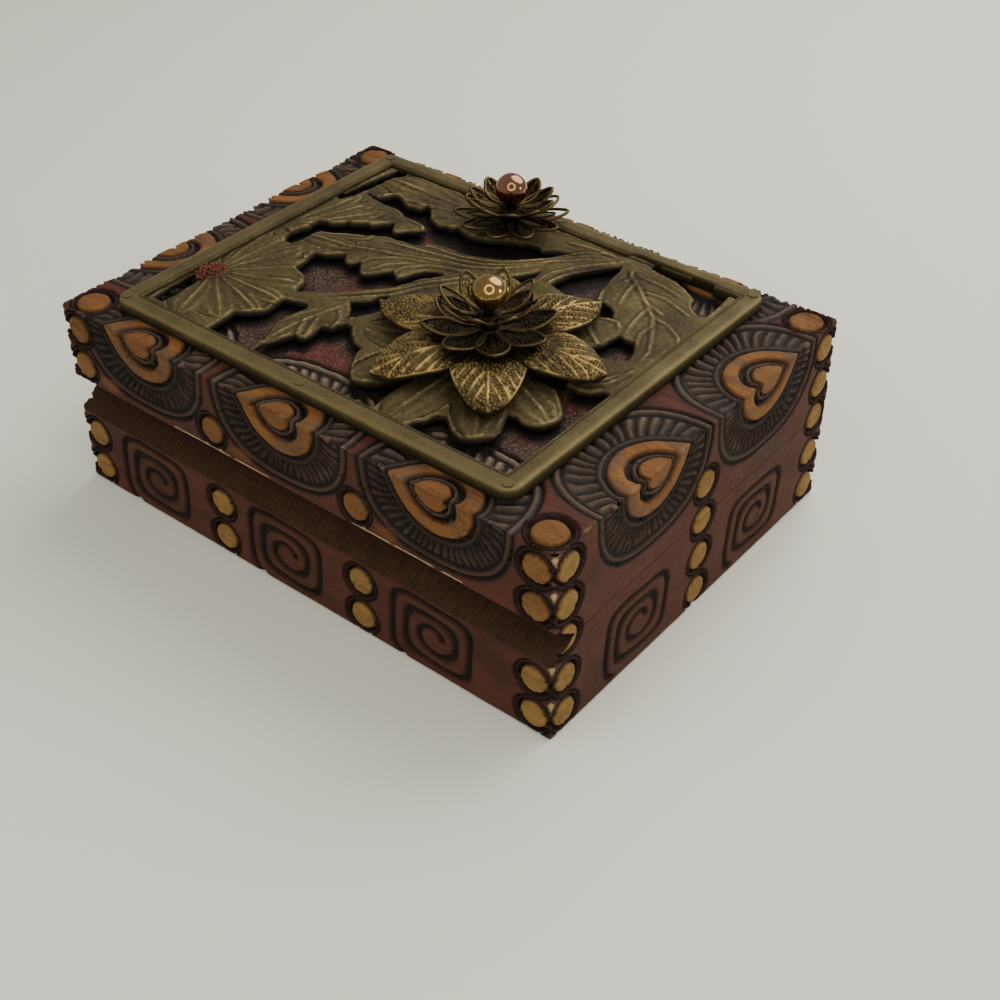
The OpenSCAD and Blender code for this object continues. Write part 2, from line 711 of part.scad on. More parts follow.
// A wire bent to a pointed petal: out along one side and back along the other
wire_rings = 16;
wire_sides = 6;

function wire_path(t, reach, half, rise) =
    let (u = t < 0.5 ? 2 * t : 2 - 2 * t)
    let (side = t < 0.5 ? 1 : -1)
    [1.8 + (reach - 1.8) * u, side * (0.4 + half * pow(sin(180 * pow(u, 1.15)), 0.8)), rise * u * u];

function wire_ring(t, reach, half, rise) =
    let (p = wire_path(t, reach, half, rise))
    let (q = wire_path(min(1, t + 0.02), reach, half, rise))
    let (o = wire_path(max(0, t - 0.02), reach, half, rise))
    let (d = q - o)
    let (along = d / norm(d))
    let (flat = cross(along, [0, 0, 1]))
    let (side = flat / norm(flat))
    let (up = cross(side, along))
    [for (k = [0 : wire_sides - 1])
        p + wire_radius * (side * cos(360 * k / wire_sides) + up * sin(360 * k / wire_sides))];

function wire_faces() = concat(
    flat_list([for (i = [0 : wire_rings - 1], k = [0 : wire_sides - 1])
        let (next = (k + 1) % wire_sides)
        quad(i * wire_sides + k, i * wire_sides + next,
            (i + 1) * wire_sides + next, (i + 1) * wire_sides + k)]),
    flat_list([for (k = [1 : wire_sides - 2]) [[0, k + 1, k],
        [wire_rings * wire_sides, wire_rings * wire_sides + k, wire_rings * wire_sides + k + 1]]]));

module wire_petal(reach, half, rise) {
    points = flat_list([for (i = [0 : wire_rings]) wire_ring(i / wire_rings, reach, half, rise)]);
    polyhedron(points, wire_faces());
}

// A ring of outlined petals round a small bored disc; the petals' half width and rise are
// shares of their reach
module filigree(count, reach, half, rise) {
    difference() {
        cylinder(r = shoulder_radius + 1, h = hub_thick);
        translate([0, 0, -1]) cylinder(r = rivet_radius + bore_gap, h = hub_thick + 2);
    }
    translate([0, 0, hub_thick / 2])
        for (i = [0 : count - 1])
            rotate(360 * i / count) wire_petal(reach, reach * half, reach * rise);
}

module at_flower(centre, level) translate([centre[0], centre[1], level]) children();

module large_flower_star() {
    color(brass_dark) at_flower(large_centre, star_level) filigree(8, large_star_reach, 0.19, 0.15);
}
module large_flower_cup() {
    color(brass_dark) at_flower(large_centre, cup_level)
        rotate(22) filigree(8, large_cup_reach, 0.2, 0.45);
}
module small_flower_star() {
    color(brass_dark) at_flower(small_centre, small_star_level) filigree(10, small_star_reach, 0.16, 0.1);
}
module small_flower_cup() {
    color(brass_dark) at_flower(small_centre, small_cup_level)
        rotate(18) filigree(10, small_cup_reach, 0.16, 0.32);
}

// A bead that is drilled to sit on the head of the rivet
module bead() {
    difference() {
        sphere(bead_radius);
        translate([0, 0, -bead_radius - 1]) cylinder(r = rivet_radius + bore_gap, h = bead_radius + 1);
    }
}
module large_flower_bead() color(brass_bright) at_flower(large_centre, cup_level + bead_rise) bead();
module small_flower_bead() {
    color(brass_bright) at_flower(small_centre, small_cup_level + small_bead_rise) bead();
}

// A stepped rivet: each layer of the flower stands on a shoulder of its own
module rivet(bead_height, layers) {
    translate([0, 0, box_top]) cylinder(r = rivet_radius, h = bead_height - box_top);
    for (i = [0 : len(layers) - 1]) {
        from = i == 0 ? sheet_top : layers[i - 1] + hub_thick;
        translate([0, 0, from]) cylinder(r = shoulder_radius, h = layers[i] - from);
    }
}
module large_flower_rivet() {
    color(brass_dark) translate(large_centre)
        rivet(cup_level + bead_rise, [petal_level, star_level, cup_level]);
}
module small_flower_rivet() {
    color(brass_dark) translate(small_centre)
        rivet(small_cup_level + small_bead_rise, [small_star_level, small_cup_level]);
}

// ---- Drawing ----

base_front();
base_back();
base_left();
base_right();
base_floor();
hinge_left_base_leaf();
hinge_right_base_leaf();
hinge_left_pin();
hinge_right_pin();
base_hinge_screws();
lid_top();
lid_front();
lid_back();
lid_left();
lid_right();
hinge_left_lid_leaf();
hinge_right_lid_leaf();
lid_hinge_screws();
overlay_plate();
overlay_pins();
large_flower_petals();
large_flower_star();
large_flower_cup();
large_flower_bead();
large_flower_rivet();
small_flower_star();
small_flower_cup();
small_flower_bead();
small_flower_rivet();
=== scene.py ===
"""Carved keepsake box: looks. All modelling sizes are in millimetres until a mesh is made."""
import math

import bmesh
import bpy
import numpy as np
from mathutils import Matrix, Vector
from mathutils.bvhtree import BVHTree
from mathutils.kdtree import KDTree


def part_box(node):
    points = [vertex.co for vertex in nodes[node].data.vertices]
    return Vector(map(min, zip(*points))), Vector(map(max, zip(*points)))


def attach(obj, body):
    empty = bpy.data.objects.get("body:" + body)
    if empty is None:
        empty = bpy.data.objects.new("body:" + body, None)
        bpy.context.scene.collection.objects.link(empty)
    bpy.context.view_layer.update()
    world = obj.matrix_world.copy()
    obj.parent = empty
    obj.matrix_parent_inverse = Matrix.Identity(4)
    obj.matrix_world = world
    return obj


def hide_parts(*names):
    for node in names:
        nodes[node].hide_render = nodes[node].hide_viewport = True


MM = 0.001

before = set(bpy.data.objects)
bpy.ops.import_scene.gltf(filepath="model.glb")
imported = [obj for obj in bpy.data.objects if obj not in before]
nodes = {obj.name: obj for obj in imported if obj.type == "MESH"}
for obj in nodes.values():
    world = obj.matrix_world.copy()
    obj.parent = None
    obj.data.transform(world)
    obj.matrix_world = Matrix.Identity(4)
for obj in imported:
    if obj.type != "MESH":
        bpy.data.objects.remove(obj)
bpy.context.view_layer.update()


def node_box(name):
    """Lowest and highest corner of a CAD node in millimetres."""
    low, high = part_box(name)
    return np.array(low) / MM, np.array(high) / MM


# ---- Sizes, from the frame ----

base_low, base_high = node_box("base_front")
lid_low, lid_high = node_box("lid_front")
HALF_X = base_high[0]
HALF_Y = -base_low[1]
BASE_TOP = base_high[2]
LID_BOTTOM = lid_low[2]
BOX_TOP = lid_high[2]
JOINT = (BASE_TOP + LID_BOTTOM) / 2
WALL = base_high[1] - base_low[1]
INNER_X = HALF_X - WALL
INNER_Y = HALF_Y - WALL
HALF = (HALF_X, HALF_Y)
INNER = (INNER_X, INNER_Y)

plate_low, plate_high = node_box("overlay_plate")
PLATE_MIDDLE = (plate_low + plate_high) / 2
PLATE_HALF = (plate_high - plate_low) / 2
SHEET_TOP = BOX_TOP + 1.8
SHEET_LOW = BOX_TOP + 0.8
PETAL_LEVEL = SHEET_TOP + 2.0

# Finger groove, and the chipped stretches of its upper lip
GROOVE_DEPTH = 7.5
GROOVE_HALF = 5.35
CHIPPED_LIP = ((-38.0, -6.4), (18.9, 50.8))

# Carving, as measured on the faces
DISC = 3.45
FRONT_MOTIFS = (-47.0, -2.0, 43.0)
FRONT_MIDS = (-24.5, 20.5)
SIDE_MOTIFS = (-20.1, 24.5)
CORNER_INSET = 5.2
BASE_ROWS = (5.1, 15.4)
LID_ROWS = (36.0, 46.2)
MID_ROW = 37.0
SIDE_MIDDLE = 0.4
SIDE_MID_ROWS = (4.6, 14.9, 25.4, 35.8)
CHIP_LEVELS = (10.2, 20.9, 41.2, 50.6)
FAN_HALF = 21.4
FAN_DROP = 19.0
FAN_REACH = 21.5
HEART_SIZE = 10.9
PATCH_SHIFT = -13.5
PATCH_ROW = LID_BOTTOM + 7.5
SPIRAL_HALF = 13.2
SPIRAL_HALF_HEIGHT = 10.9
SPIRAL_PITCH = 3.95
FRONT_SPIRAL_SHIFT = -0.8
FRONT_SPIRAL_ROW = 10.75
SIDE_SPIRALS = (-23.5, 25.0)
SIDE_SPIRAL_ROW = 12.0
TOP_DISC = 4.0
TOP_DISC_INSET = 5.8

# Cells of the meshes; BLOCK of them along each side make one coarse face
GRID = 0.26
TOP_GRID = GRID * 1.3
WALL_ROWS = int(26 / GRID) + 1
FINE_BORDER = 22.0
SHEET_GRID = 0.34
COVER_GRID = 0.5
BLOCK = 4
LATTICE = 97


# ---- Small helpers ----

def smooth(t):
    """Fades from 0 to 1 without a corner at either end."""
    t = np.clip(t, 0, 1)
    return t * t * (3 - 2 * t)


def band(x, low, high, soft=0.35):
    """1 between low and high, fading over soft at both ends."""
    return smooth((x - low) / soft + 0.5) * smooth((high - x) / soft + 0.5)


def noise(u, v, scale, seed):
    """Smooth value noise from 0 to 1, on a lattice of the given cell size."""
    lattice = np.random.default_rng(seed).random((LATTICE, LATTICE))
    x, y = np.asarray(u, float) / scale + 1000, np.asarray(v, float) / scale + 1000
    i, j = np.floor(x).astype(int), np.floor(y).astype(int)
    fx, fy = smooth(x - i), smooth(y - j)
    i, j, i1, j1 = i % LATTICE, j % LATTICE, (i + 1) % LATTICE, (j + 1) % LATTICE
    low = lattice[i, j] * (1 - fx) + lattice[i1, j] * fx
    high = lattice[i, j1] * (1 - fx) + lattice[i1, j1] * fx
    return low * (1 - fy) + high * fy


def rough(u, v, scale, seed, octaves=3):
    """Layered noise from 0 to 1."""
    total, weight, gain = 0, 0, 1.0
    for k in range(octaves):
        total = total + gain * noise(u, v, scale / 2 ** k, seed + k)
        weight += gain
        gain *= 0.5
    return total / weight


def in_scene(name, data):
    """A new object in the scene, for a mesh, a lamp or a camera."""
    obj = bpy.data.objects.new(name, data)
    bpy.context.scene.collection.objects.link(obj)
    return obj


def add_object(name, mesh, material, body, replaced=None):
    """Puts a finished mesh in the scene, ties it to its body and hides the CAD node that it replaces."""
    obj = in_scene(name, mesh)
    mesh.materials.append(material)
    if replaced:
        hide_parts(replaced)
    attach(obj, body)
    return obj


def add_layer(mesh, label, values):
    """Stores four values from 0 to 1 for each point as a colour attribute."""
    layer = mesh.color_attributes.new(label, "FLOAT_COLOR", "POINT")
    layer.data.foreach_set("color", np.ascontiguousarray(values, np.float32).ravel())


def make_mesh(name, points, faces, tints=None, shade=True):
    """A mesh from points in millimetres, with its tints as colour attributes."""
    mesh = bpy.data.meshes.new(name)
    mesh.from_pydata((np.asarray(points) * MM).tolist(), [], faces)
    for label, values in (tints or {}).items():
        add_layer(mesh, label, values)
    mesh.polygons.foreach_set("use_smooth", [shade] * len(mesh.polygons))
    mesh.update()
    mesh.validate()
    return mesh


def mesh_points(mesh):
    """Places of a mesh's points, in millimetres."""
    points = np.empty(3 * len(mesh.vertices), np.float32)
    mesh.vertices.foreach_get("co", points)
    return points.reshape(-1, 3).astype(float) / MM


def evaluated(obj):
    """The plain mesh that an object's modifiers give."""
    depsgraph = bpy.context.evaluated_depsgraph_get()
    depsgraph.update()
    return bpy.data.meshes.new_from_object(obj.evaluated_get(depsgraph))


def sharpen(mesh, angle, merge=False):
    """Points the faces outwards and marks the edges above the angle as hard."""
    work = bmesh.new()
    work.from_mesh(mesh)
    if merge:
        bmesh.ops.remove_doubles(work, verts=work.verts, dist=1e-6)
        work.normal_update()
    bmesh.ops.delete(work, geom=[v for v in work.verts if not v.link_faces], context="VERTS")
    bmesh.ops.recalc_face_normals(work, faces=work.faces)
    for edge in work.edges:
        if len(edge.link_faces) == 2 and edge.calc_face_angle(0) > angle:
            edge.smooth = False
    work.to_mesh(mesh)
    work.free()


def merged(name, meshes):
    """Several meshes as one; they are used up."""
    work = bmesh.new()
    for part in meshes:
        work.from_mesh(part)
        bpy.data.meshes.remove(part)
    mesh = bpy.data.meshes.new(name)
    work.to_mesh(mesh)
    work.free()
    mesh.materials.clear()  # which also sends every face back to the first finish
    return mesh


def grid_quads(index):
    """Faces between the points of a numbered grid."""
    return np.stack([index[:-1, :-1], index[1:, :-1], index[1:, 1:], index[:-1, 1:]], -1).reshape(-1, 4)


def block_faces(number, cells, whole):
    """Faces over a numbered grid: each whole block of cells as one face, and the other cells singly."""
    columns, rows = whole.shape
    fine = cells.copy()
    faces = []
    for m, n in np.argwhere(whole):
        i, j, far_i, far_j = m * BLOCK, n * BLOCK, (m + 1) * BLOCK, (n + 1) * BLOCK
        fine[i:far_i, j:far_j] = False
        sides = ((m, n - 1, number[i:far_i, j]), (m + 1, n, number[far_i, j:far_j]),
                 (m, n + 1, number[far_i:i:-1, far_j]), (m - 1, n, number[i, far_j:j:-1]))
        loop = []
        for p, q, line in sides:
            joined_on = 0 <= p < columns and 0 <= q < rows and whole[p, q]
            loop += [int(line[0])] if joined_on else line.tolist()
        faces.append(loop)
    return faces + grid_quads(number)[fine.ravel()].tolist()


def border_edges(quads):
    """Directed edges that belong to one quad only."""
    a = quads.ravel()
    b = np.roll(quads, -1, axis=1).ravel()
    seen = set(zip(a.tolist(), b.tolist()))
    return [(p, q) for p, q in seen if (q, p) not in seen]


def tube_faces(rings, sides, closed=False):
    """Faces between rings of points; the two ends are filled, or else joined where it is closed."""
    faces = []
    for i in range(rings if closed else rings - 1):
        near, far = i * sides, (i + 1) % rings * sides
        for k in range(sides):
            after = (k + 1) % sides
            faces.append((near + k, near + after, far + after, far + k))
    if not closed:
        faces += [tuple(range(sides))[::-1], tuple(range((rings - 1) * sides, rings * sides))]
    return faces


# ---- Carving ----

# The darkest tint is burnt wood, and also painted shade: beside the overlay, round the spiral grooves and
# deep in the finger groove.
TINTS = ("disc", "heart", "char", "pale", "ash", "plain")


class CarvedFace:
    """Depth below the face, and finish, at every point u, v of one face."""

    def __init__(self, u, v):
        """Starts from bare, slightly uneven wood."""
        self.u, self.v = u, v
        self.depth = 0.10 + 0.22 * rough(u, v, 7.0, 3)
        self.ground = np.zeros(np.broadcast(u, v).shape)
        self.tint = {name: np.zeros(np.broadcast(u, v).shape) for name in TINTS}

    def set(self, weight, depth, **tints):
        """Blends in a carved form where weight is 1."""
        self.depth = self.depth * (1 - weight) + depth * weight
        for name in self.tint:
            value = tints.get(name, 0.0)
            self.tint[name] = self.tint[name] * (1 - weight) + value * weight

    def within(self, r, limit, soft, depth, share=1.0, **tints):
        """Blends in a carved form wherever r is below its limit."""
        self.set(share * band(r, -1, limit, soft), depth, **tints)

    def disc(self, u0, v0, radius=DISC, seed=1, warm=0.0):
        """A raised round of pale wood between two burnt ring grooves."""
        wobble = 0.35 * (rough(self.u, self.v, 4.0, 40 + seed) - 0.5)
        r = np.hypot(self.u - u0, self.v - v0) + wobble
        crown = 0.05 + 0.30 * np.clip(r / radius, 0, 1) ** 4
        pits = 0.25 * smooth((rough(self.u, self.v, 1.0, 70 + seed) - 0.6) * 8)
        self.within(r, radius + 2.3, 0.6, self.depth, 0.6, char=0.8)
        self.within(r, radius + 1.85, 0.3, 0.8, char=1.0)
        self.within(r, radius + 1.45, 0.3, 0.2, char=0.6)
        self.within(r, radius + 0.9, 0.35, 1.4, char=1.0)
        self.within(r, radius, 0.35, crown + pits, disc=1.0 - warm, heart=warm)

    def fan(self, along, across, reach, worn=0.0):
        """A heart on the edge, with feather strokes fanned round it; along points to the tip."""
        power = 2.6
        edge = ((np.abs(along) / FAN_HALF) ** power + (np.abs(across) / reach) ** power) ** (1 / power)
        edge = edge + 0.012 * (rough(self.u, self.v, 5.0, 11) - 0.5)
        angle = np.degrees(np.arctan2(across, along))
        flutter = 0.035 * (rough(self.u, self.v, 3.0, 12) - 0.5)
        outside = HEART_SIZE * np.interp(angle, HEART_ANGLES, HEART_OUTSIDE)
        inside = HEART_SIZE * np.interp(angle, HEART_ANGLES, HEART_INSIDE)
        scale = np.hypot(along, across) / outside + flutter
        inner = np.hypot(along - 0.4, across) / inside + flutter
        wave = angle / 180 * (27 - 8 * worn) + 0.8 * noise(self.u, self.v, 6.0, 14) + 2.2 * (edge - 0.6)
        ridge = (0.5 + 0.5 * np.cos(2 * np.pi * wave)) ** (1.7 - 0.7 * worn)
        ridge = ridge * (0.8 + 0.7 * (noise(self.u, self.v, 2.2, 15) - 0.5))
        tip = smooth((edge - 0.66) / 0.16) * noise(self.u, self.v, 7.0, 16)
        window = band(edge, -1, 0.85, 0.06) * band(scale, 1.24, 99, 0.08)
        self.within(edge, 1.02, 0.05, self.depth, 0.8, char=0.7)
        self.within(edge, 0.995, 0.02, 0.85, char=1.0)
        self.within(edge, 0.955, 0.025, 0.22, char=0.5, ash=0.3 + 0.4 * worn)
        self.within(edge, 0.905, 0.02, 0.95, char=1.0)
        self.within(edge, 0.875, 0.02, 0.80, char=0.95)
        self.set(window, 1.25, char=1.0)
        self.set(window * ridge, 0.15, char=0.62 - 0.5 * tip, ash=0.28 + 0.6 * tip + 0.45 * worn)
        self.set(band(scale, 1.09, 1.17, 0.06), 0.40, char=0.8, ash=0.15 + 0.25 * worn)
        self.heart(scale, inner)

    def heart(self, scale, inner):
        """Nested rings of a heart, by the scale of its outline; the inner rings lie nearer its tip."""
        self.within(scale, 1.09, 0.04, 1.2, char=1.0)
        crown = 0.10 + 0.25 * np.abs((scale - 0.85) / 0.15) ** 3
        dull = 0.7 * smooth((rough(self.u, self.v, 5.0, 18) - 0.48) * 5)
        self.within(scale, 1.0, 0.04, np.clip(crown, 0, 0.5), heart=1 - 0.5 * dull, ash=0.5 * dull)
        self.within(inner, 0.67, 0.04, 1.6, char=1.0)
        self.within(inner, 0.535, 0.03, 0.40, char=0.5, ash=0.55)
        self.within(inner, 0.465, 0.03, 1.3, char=1.0)
        self.within(inner, 0.41, 0.035, 0.15, heart=0.72, disc=0.28)

    def spiral(self, u0, v0):
        """A groove that winds inwards from the bottom left, square at first and then round."""
        du, dv = self.u - u0, (self.v - v0) * SPIRAL_HALF / SPIRAL_HALF_HEIGHT
        inner = np.hypot(du, dv)
        square = (np.abs(du) ** 5 + np.abs(dv) ** 5) ** 0.2
        mix = smooth((square - 3.0) / 6.5)
        q = inner * (1 - mix) + square * mix
        q = q + 0.4 * (rough(self.u, self.v, 4.5, 21) - 0.5)
        turn = np.arctan2(du, dv) / (2 * np.pi) + 0.5
        lap = np.round((SPIRAL_HALF - q) / SPIRAL_PITCH - turn)
        line = np.abs(SPIRAL_HALF - SPIRAL_PITCH * (lap + turn) - q)
        drawn = band(lap + turn, 0.10, 2.75, 0.02) * (lap >= 0)
        groove = (1 - smooth((line - 0.40) / 0.60)) * drawn
        shadow = (1 - smooth((line - 0.7) / 1.2)) * drawn
        self.set(shadow * 0.5, self.depth, char=0.7)
        self.set(groove, 1.0, char=1.0)

    def patch(self, u0, v0):
        """A place where the stain has rubbed off to orange wood."""
        r = np.hypot((self.u - u0) / 3.2, (self.v - v0) / 1.6) + 0.8 * (rough(self.u, self.v, 3.0, 29) - 0.5)
        self.within(r, 1.0, 0.7, self.depth, 0.7, heart=0.6)

    def chips(self, distance):
        """Small bare places on an upright arris, between the discs."""
        for level in CHIP_LEVELS:
            weight = smooth((1.5 - distance - 0.75 * np.abs(self.v - level)) / 0.35)
            self.set(weight, self.depth * 0.5 + 0.35, pale=1.0)

    def worn_edge(self, distance, seed, chip=1.0):
        """Rounds an arris and breaks it here and there down to bare wood."""
        radius = 0.9
        t = np.clip(radius - distance, 0, radius)
        self.depth = self.depth + radius - np.sqrt(radius ** 2 - t ** 2)
        nick = smooth((rough(self.u, self.v, 3.2, seed) - 0.60) * 9) * smooth((1.1 - distance) / 0.5)
        self.set(nick * chip, self.depth + 0.2, pale=0.8)

    def wall_edges(self, corner, lid, seed):
        """Ends a wall at its upright corners and its level edge, shallow, chipped and worn."""
        self.depth = np.minimum(self.depth, 0.35 + 0.9 * corner)
        self.chips(corner)
        self.worn_edge(corner, seed, 0.3)
        self.worn_edge(BOX_TOP - self.v if lid else self.v, seed + 2, 0.25 if lid else 0.0)

    def tint_layers(self):
        """The finish as three colour layers, with up to three masks in each."""
        one, none, t = np.ones_like(self.depth), np.zeros_like(self.depth), self.tint
        return {
            "finish": np.stack([t["disc"], t["heart"], t["char"], one], -1),
            "wear": np.stack([t["pale"], t["ash"], t["plain"], one], -1),
            "ground": np.stack([self.ground, none, none, one], -1),
        }


# Outline of a heart by the angle from its tip, for its outer ring and for its inner rings
HEART_ANGLES = (0, 6, 14, 30, 60, 90, 120, 145, 165, 174, 180)
HEART_OUTSIDE = (1.16, 1.09, 1.03, 0.99, 0.97, 0.98, 1.01, 1.03, 1.02, 0.99, 0.95)
HEART_INSIDE = (1.10, 1.04, 1.00, 0.97, 0.98, 1.02, 1.05, 1.03, 0.92, 0.80, 0.66)


def finger_groove(face):
    """Cuts the finger groove along the joint, with its worn hollow darkened by painted shade towards its
    depth, and its chipped upper lip.
    """
    x, z = face.u, face.v
    cut = GROOVE_DEPTH * np.clip(1 - np.abs(z - JOINT) / GROOVE_HALF, 0, 1)
    inside = smooth((cut - 0.15) / 0.35)
    scratch = noise(x, z * 0.12, 0.45, 33)
    # Painted shade: the hollow darkens towards its deepest part, over its scratch streaks.
    dark = 0.30 * scratch + 0.5 * (cut / GROOVE_DEPTH) ** 2
    face.set(inside, cut + 0.10 * scratch, plain=1.0 - dark, char=dark)
    lip = np.abs(np.abs(z - JOINT) - GROOVE_HALF)
    chipped = sum(band(x, start, end, 0.4) for start, end in CHIPPED_LIP)
    chipped = chipped * smooth((0.50 - lip) / 0.2) * smooth((noise(x, z, 2.6, 35) - 0.2) * 6)
    face.set(chipped * (z > JOINT), face.depth + 0.25, pale=1.0)


def front_face(x, z, lid, grooved):
    """Carving of the front wall, and without its finger groove of the back wall."""
    face = CarvedFace(x, z)
    if lid:
        for motif in FRONT_MOTIFS:
            face.fan(motif - x, BOX_TOP - z, FAN_DROP)
            face.patch(motif + PATCH_SHIFT, PATCH_ROW)
        for row in LID_ROWS:
            face.disc(CORNER_INSET - HALF_X, row, seed=int(row), warm=0.45)
            face.disc(HALF_X - CORNER_INSET, row, seed=int(row) + 1, warm=0.45)
        for middle in FRONT_MIDS:
            face.disc(middle, MID_ROW, seed=int(middle) % 9, warm=0.6)
    else:
        for motif in FRONT_MOTIFS:
            face.spiral(motif + FRONT_SPIRAL_SHIFT, FRONT_SPIRAL_ROW)
        for column in (-HALF_X + CORNER_INSET, *FRONT_MIDS, HALF_X - CORNER_INSET):
            for row in BASE_ROWS:
                face.disc(column, row, seed=int(row + column) % 17)
    face.wall_edges(HALF_X - np.abs(x), lid, 50)
    if grooved:
        finger_groove(face)
    return face


def side_face(y, z, lid):
    """Carving of the right wall, and mirrored of the left wall."""
    face = CarvedFace(y, z)
    if lid:
        for motif in SIDE_MOTIFS:
            face.fan(y - motif, BOX_TOP - z, FAN_DROP + 1)
    else:
        for motif in SIDE_SPIRALS:
            face.spiral(motif, SIDE_SPIRAL_ROW)
    for row in BASE_ROWS + (JOINT,) + LID_ROWS:
        face.disc(CORNER_INSET - HALF_Y, row, seed=int(row) + 4)
        face.disc(HALF_Y - CORNER_INSET, row, seed=int(row) + 6)
    for row in SIDE_MID_ROWS:
        face.disc(SIDE_MIDDLE, row, seed=int(row) + 3)
    face.wall_edges(HALF_Y - np.abs(y), lid, 54)
    return face


def plate_cells(step, low, high):
    """Grid lines over the plate, and which cells hold metal, found by looking down on the CAD node."""
    above, halfway = 90.0, (SHEET_LOW + SHEET_TOP) / 2
    x, y = np.arange(low[0], high[0] + step, step), np.arange(low[1], high[1] + step, step)
    tree = BVHTree.FromObject(nodes["overlay_plate"], bpy.context.evaluated_depsgraph_get())
    inside = np.zeros((len(x), len(y)), bool)
    for i, px in enumerate(x):
        for j, py in enumerate(y):
            hit = tree.ray_cast(Vector((px * MM, py * MM, above * MM)), Vector((0, 0, -1)))
            inside[i, j] = hit[0] is not None and hit[0].z / MM > halfway
    return x, y, inside[:-1, :-1] & inside[1:, :-1] & inside[1:, 1:] & inside[:-1, 1:]


COVER_X, COVER_Y, COVER = plate_cells(COVER_GRID, plate_low, plate_high)


def leaf_shade(x, y):
    """Painted shadow of the overlay: how near the metal is on the far left side of a place on the wood, 1
    beneath it and 0 clear of it.
    """
    towards_x, towards_y, near, far = -0.62, 0.78, 6.0, 12.0
    dark = np.zeros(np.broadcast(x, y).shape)
    reach = near + (far - near) * smooth((y - 14.0) / 8.0)
    for step in np.arange(0, far, 0.4):
        i = ((x + towards_x * step - COVER_X[0]) / COVER_GRID).astype(int)
        j = ((y + towards_y * step - COVER_Y[0]) / COVER_GRID).astype(int)
        metal = COVER[np.clip(i, 0, COVER.shape[0] - 1), np.clip(j, 0, COVER.shape[1] - 1)]
        dark = np.maximum(dark, metal * np.clip(1 - step / reach, 0, 1))
    return dark


def top_face(x, y):
    """Carving of the top, and the rough ground under the overlay, darkened by painted shadow beside the
    metal.
    """
    face = CarvedFace(x, y)
    grains = rough(x, y, 1.1, 61)
    outward = np.maximum(np.abs(x - PLATE_MIDDLE[0]) - PLATE_HALF[0],
                         np.abs(y - PLATE_MIDDLE[1]) - PLATE_HALF[1])
    face.ground = band(outward, -99, -2.5, 1.5)
    for motif in FRONT_MOTIFS:
        face.fan(motif - x, y + HALF_Y, FAN_REACH, 1.0)
        face.fan(x - motif, HALF_Y - y, FAN_REACH, 1.0)
    for motif in SIDE_MOTIFS:
        face.fan(y - motif, HALF_X - x, FAN_REACH, 1.0)
        face.fan(motif - y, x + HALF_X, FAN_REACH, 1.0)
    sunk = band(outward, -99, -5.2, 1.6)
    face.depth = face.depth + sunk * (0.1 + 0.45 * grains + 0.3 * rough(x, y, 6.0, 62))
    # Painted shadow: wood under and beside the metal turned near-black, wider towards the back.
    face.set(sunk * smooth(2.2 * leaf_shade(x, y) - 0.5), face.depth, char=1.0)
    for sx in (-1, 1):
        for sy in (-1, 1):
            face.disc(sx * (HALF_X - TOP_DISC_INSET), sy * (HALF_Y - TOP_DISC_INSET), TOP_DISC,
                      seed=sx + 2 * sy + 5, warm=0.7)
    face.worn_edge(HALF_X - np.abs(x), 58, 0.2)
    face.worn_edge(HALF_Y - np.abs(y), 59, 0.2)
    return face


# ---- Boards ----

# The walls: the axis that each looks along, 0 for x and 1 for y, and the sign of its side
WALLS = {"front": (1, -1), "back": (1, 1), "left": (0, -1), "right": (0, 1)}


def wall_place(u, out, axis):
    """x and y of a place that is u along a wall and out from the box's middle."""
    return (u, out) if axis else (out, u)


def wall_face(u, z, lid, axis, side):
    """The carving of a wall at places u along it."""
    return front_face(-side * u, z, lid, side < 0) if axis else side_face(side * u, z, lid)


def corner_lines(z, lid, side_x, side_y):
    """Where the carved faces meet along an upright corner: x and y at each height."""
    x, y = np.full_like(z, HALF_X), np.full_like(z, HALF_Y)
    for _ in range(3):
        x = HALF_X - wall_face(side_y * y, z, lid, 0, side_x).depth
        y = HALF_Y - wall_face(side_x * x, z, lid, 1, side_y).depth
    return side_x * x, side_y * y


def top_line(u, axis, side):
    """Where a lid wall meets the top: distance out from the middle, and height, at each place u."""
    out = np.full_like(u, HALF[axis])
    for _ in range(3):
        z = BOX_TOP - top_face(*wall_place(u, side * out, axis)).depth
        out = HALF[axis] - wall_face(u, z, True, axis, side).depth
    return side * out, z


def plain_layers(count):
    """Tints of unstained wood, for the points of inner and cut faces."""
    none = np.tile((0.0, 0.0, 0.0, 1.0), (count, 1))
    return {"finish": none, "wear": np.tile((0.0, 0.0, 1.0, 1.0), (count, 1)), "ground": none}


def solid_board(name, outer, corners, tints, body, replaced, faces=None):
    """A closed board: a carved outer grid joined by a narrow lip to a plain inner rectangle."""
    rows, columns = outer.shape[:2]
    count = rows * columns
    index = np.arange(count).reshape(rows, columns)
    if faces is None:
        faces = grid_quads(index).tolist()
    loop = np.concatenate([index[:-1, 0], index[-1, :-1], index[:0:-1, -1], index[0, :0:-1]])
    s = (loop // columns)[:, None] / (rows - 1)
    t = (loop % columns)[:, None] / (columns - 1)
    a, b, c, d = np.array(corners)
    inner = a * ((1 - s) * (1 - t)) + b * (s * (1 - t)) + c * (s * t) + d * ((1 - s) * t)
    arris = outer.reshape(-1, 3)[loop]
    stain_share = 0.05
    stain_end = arris + stain_share * (inner - arris)
    lip = np.arange(len(loop)) + count
    ring = lip + len(loop)
    for near, far in ((loop, lip), (lip, ring)):
        faces = faces + np.stack([near, far, np.roll(far, -1), np.roll(near, -1)], -1).tolist()
    faces = faces + [ring[::-1].tolist()]
    points = np.concatenate([outer.reshape(-1, 3), stain_end, inner])
    plain = plain_layers(2 * len(loop))
    layers = {label: np.concatenate([values.reshape(-1, 4), plain[label]]) for label, values in tints.items()}
    mesh = make_mesh(name, points, faces, layers)
    sharpen(mesh, 1.0)
    return add_object(name, mesh, carved_wood, body, replaced)


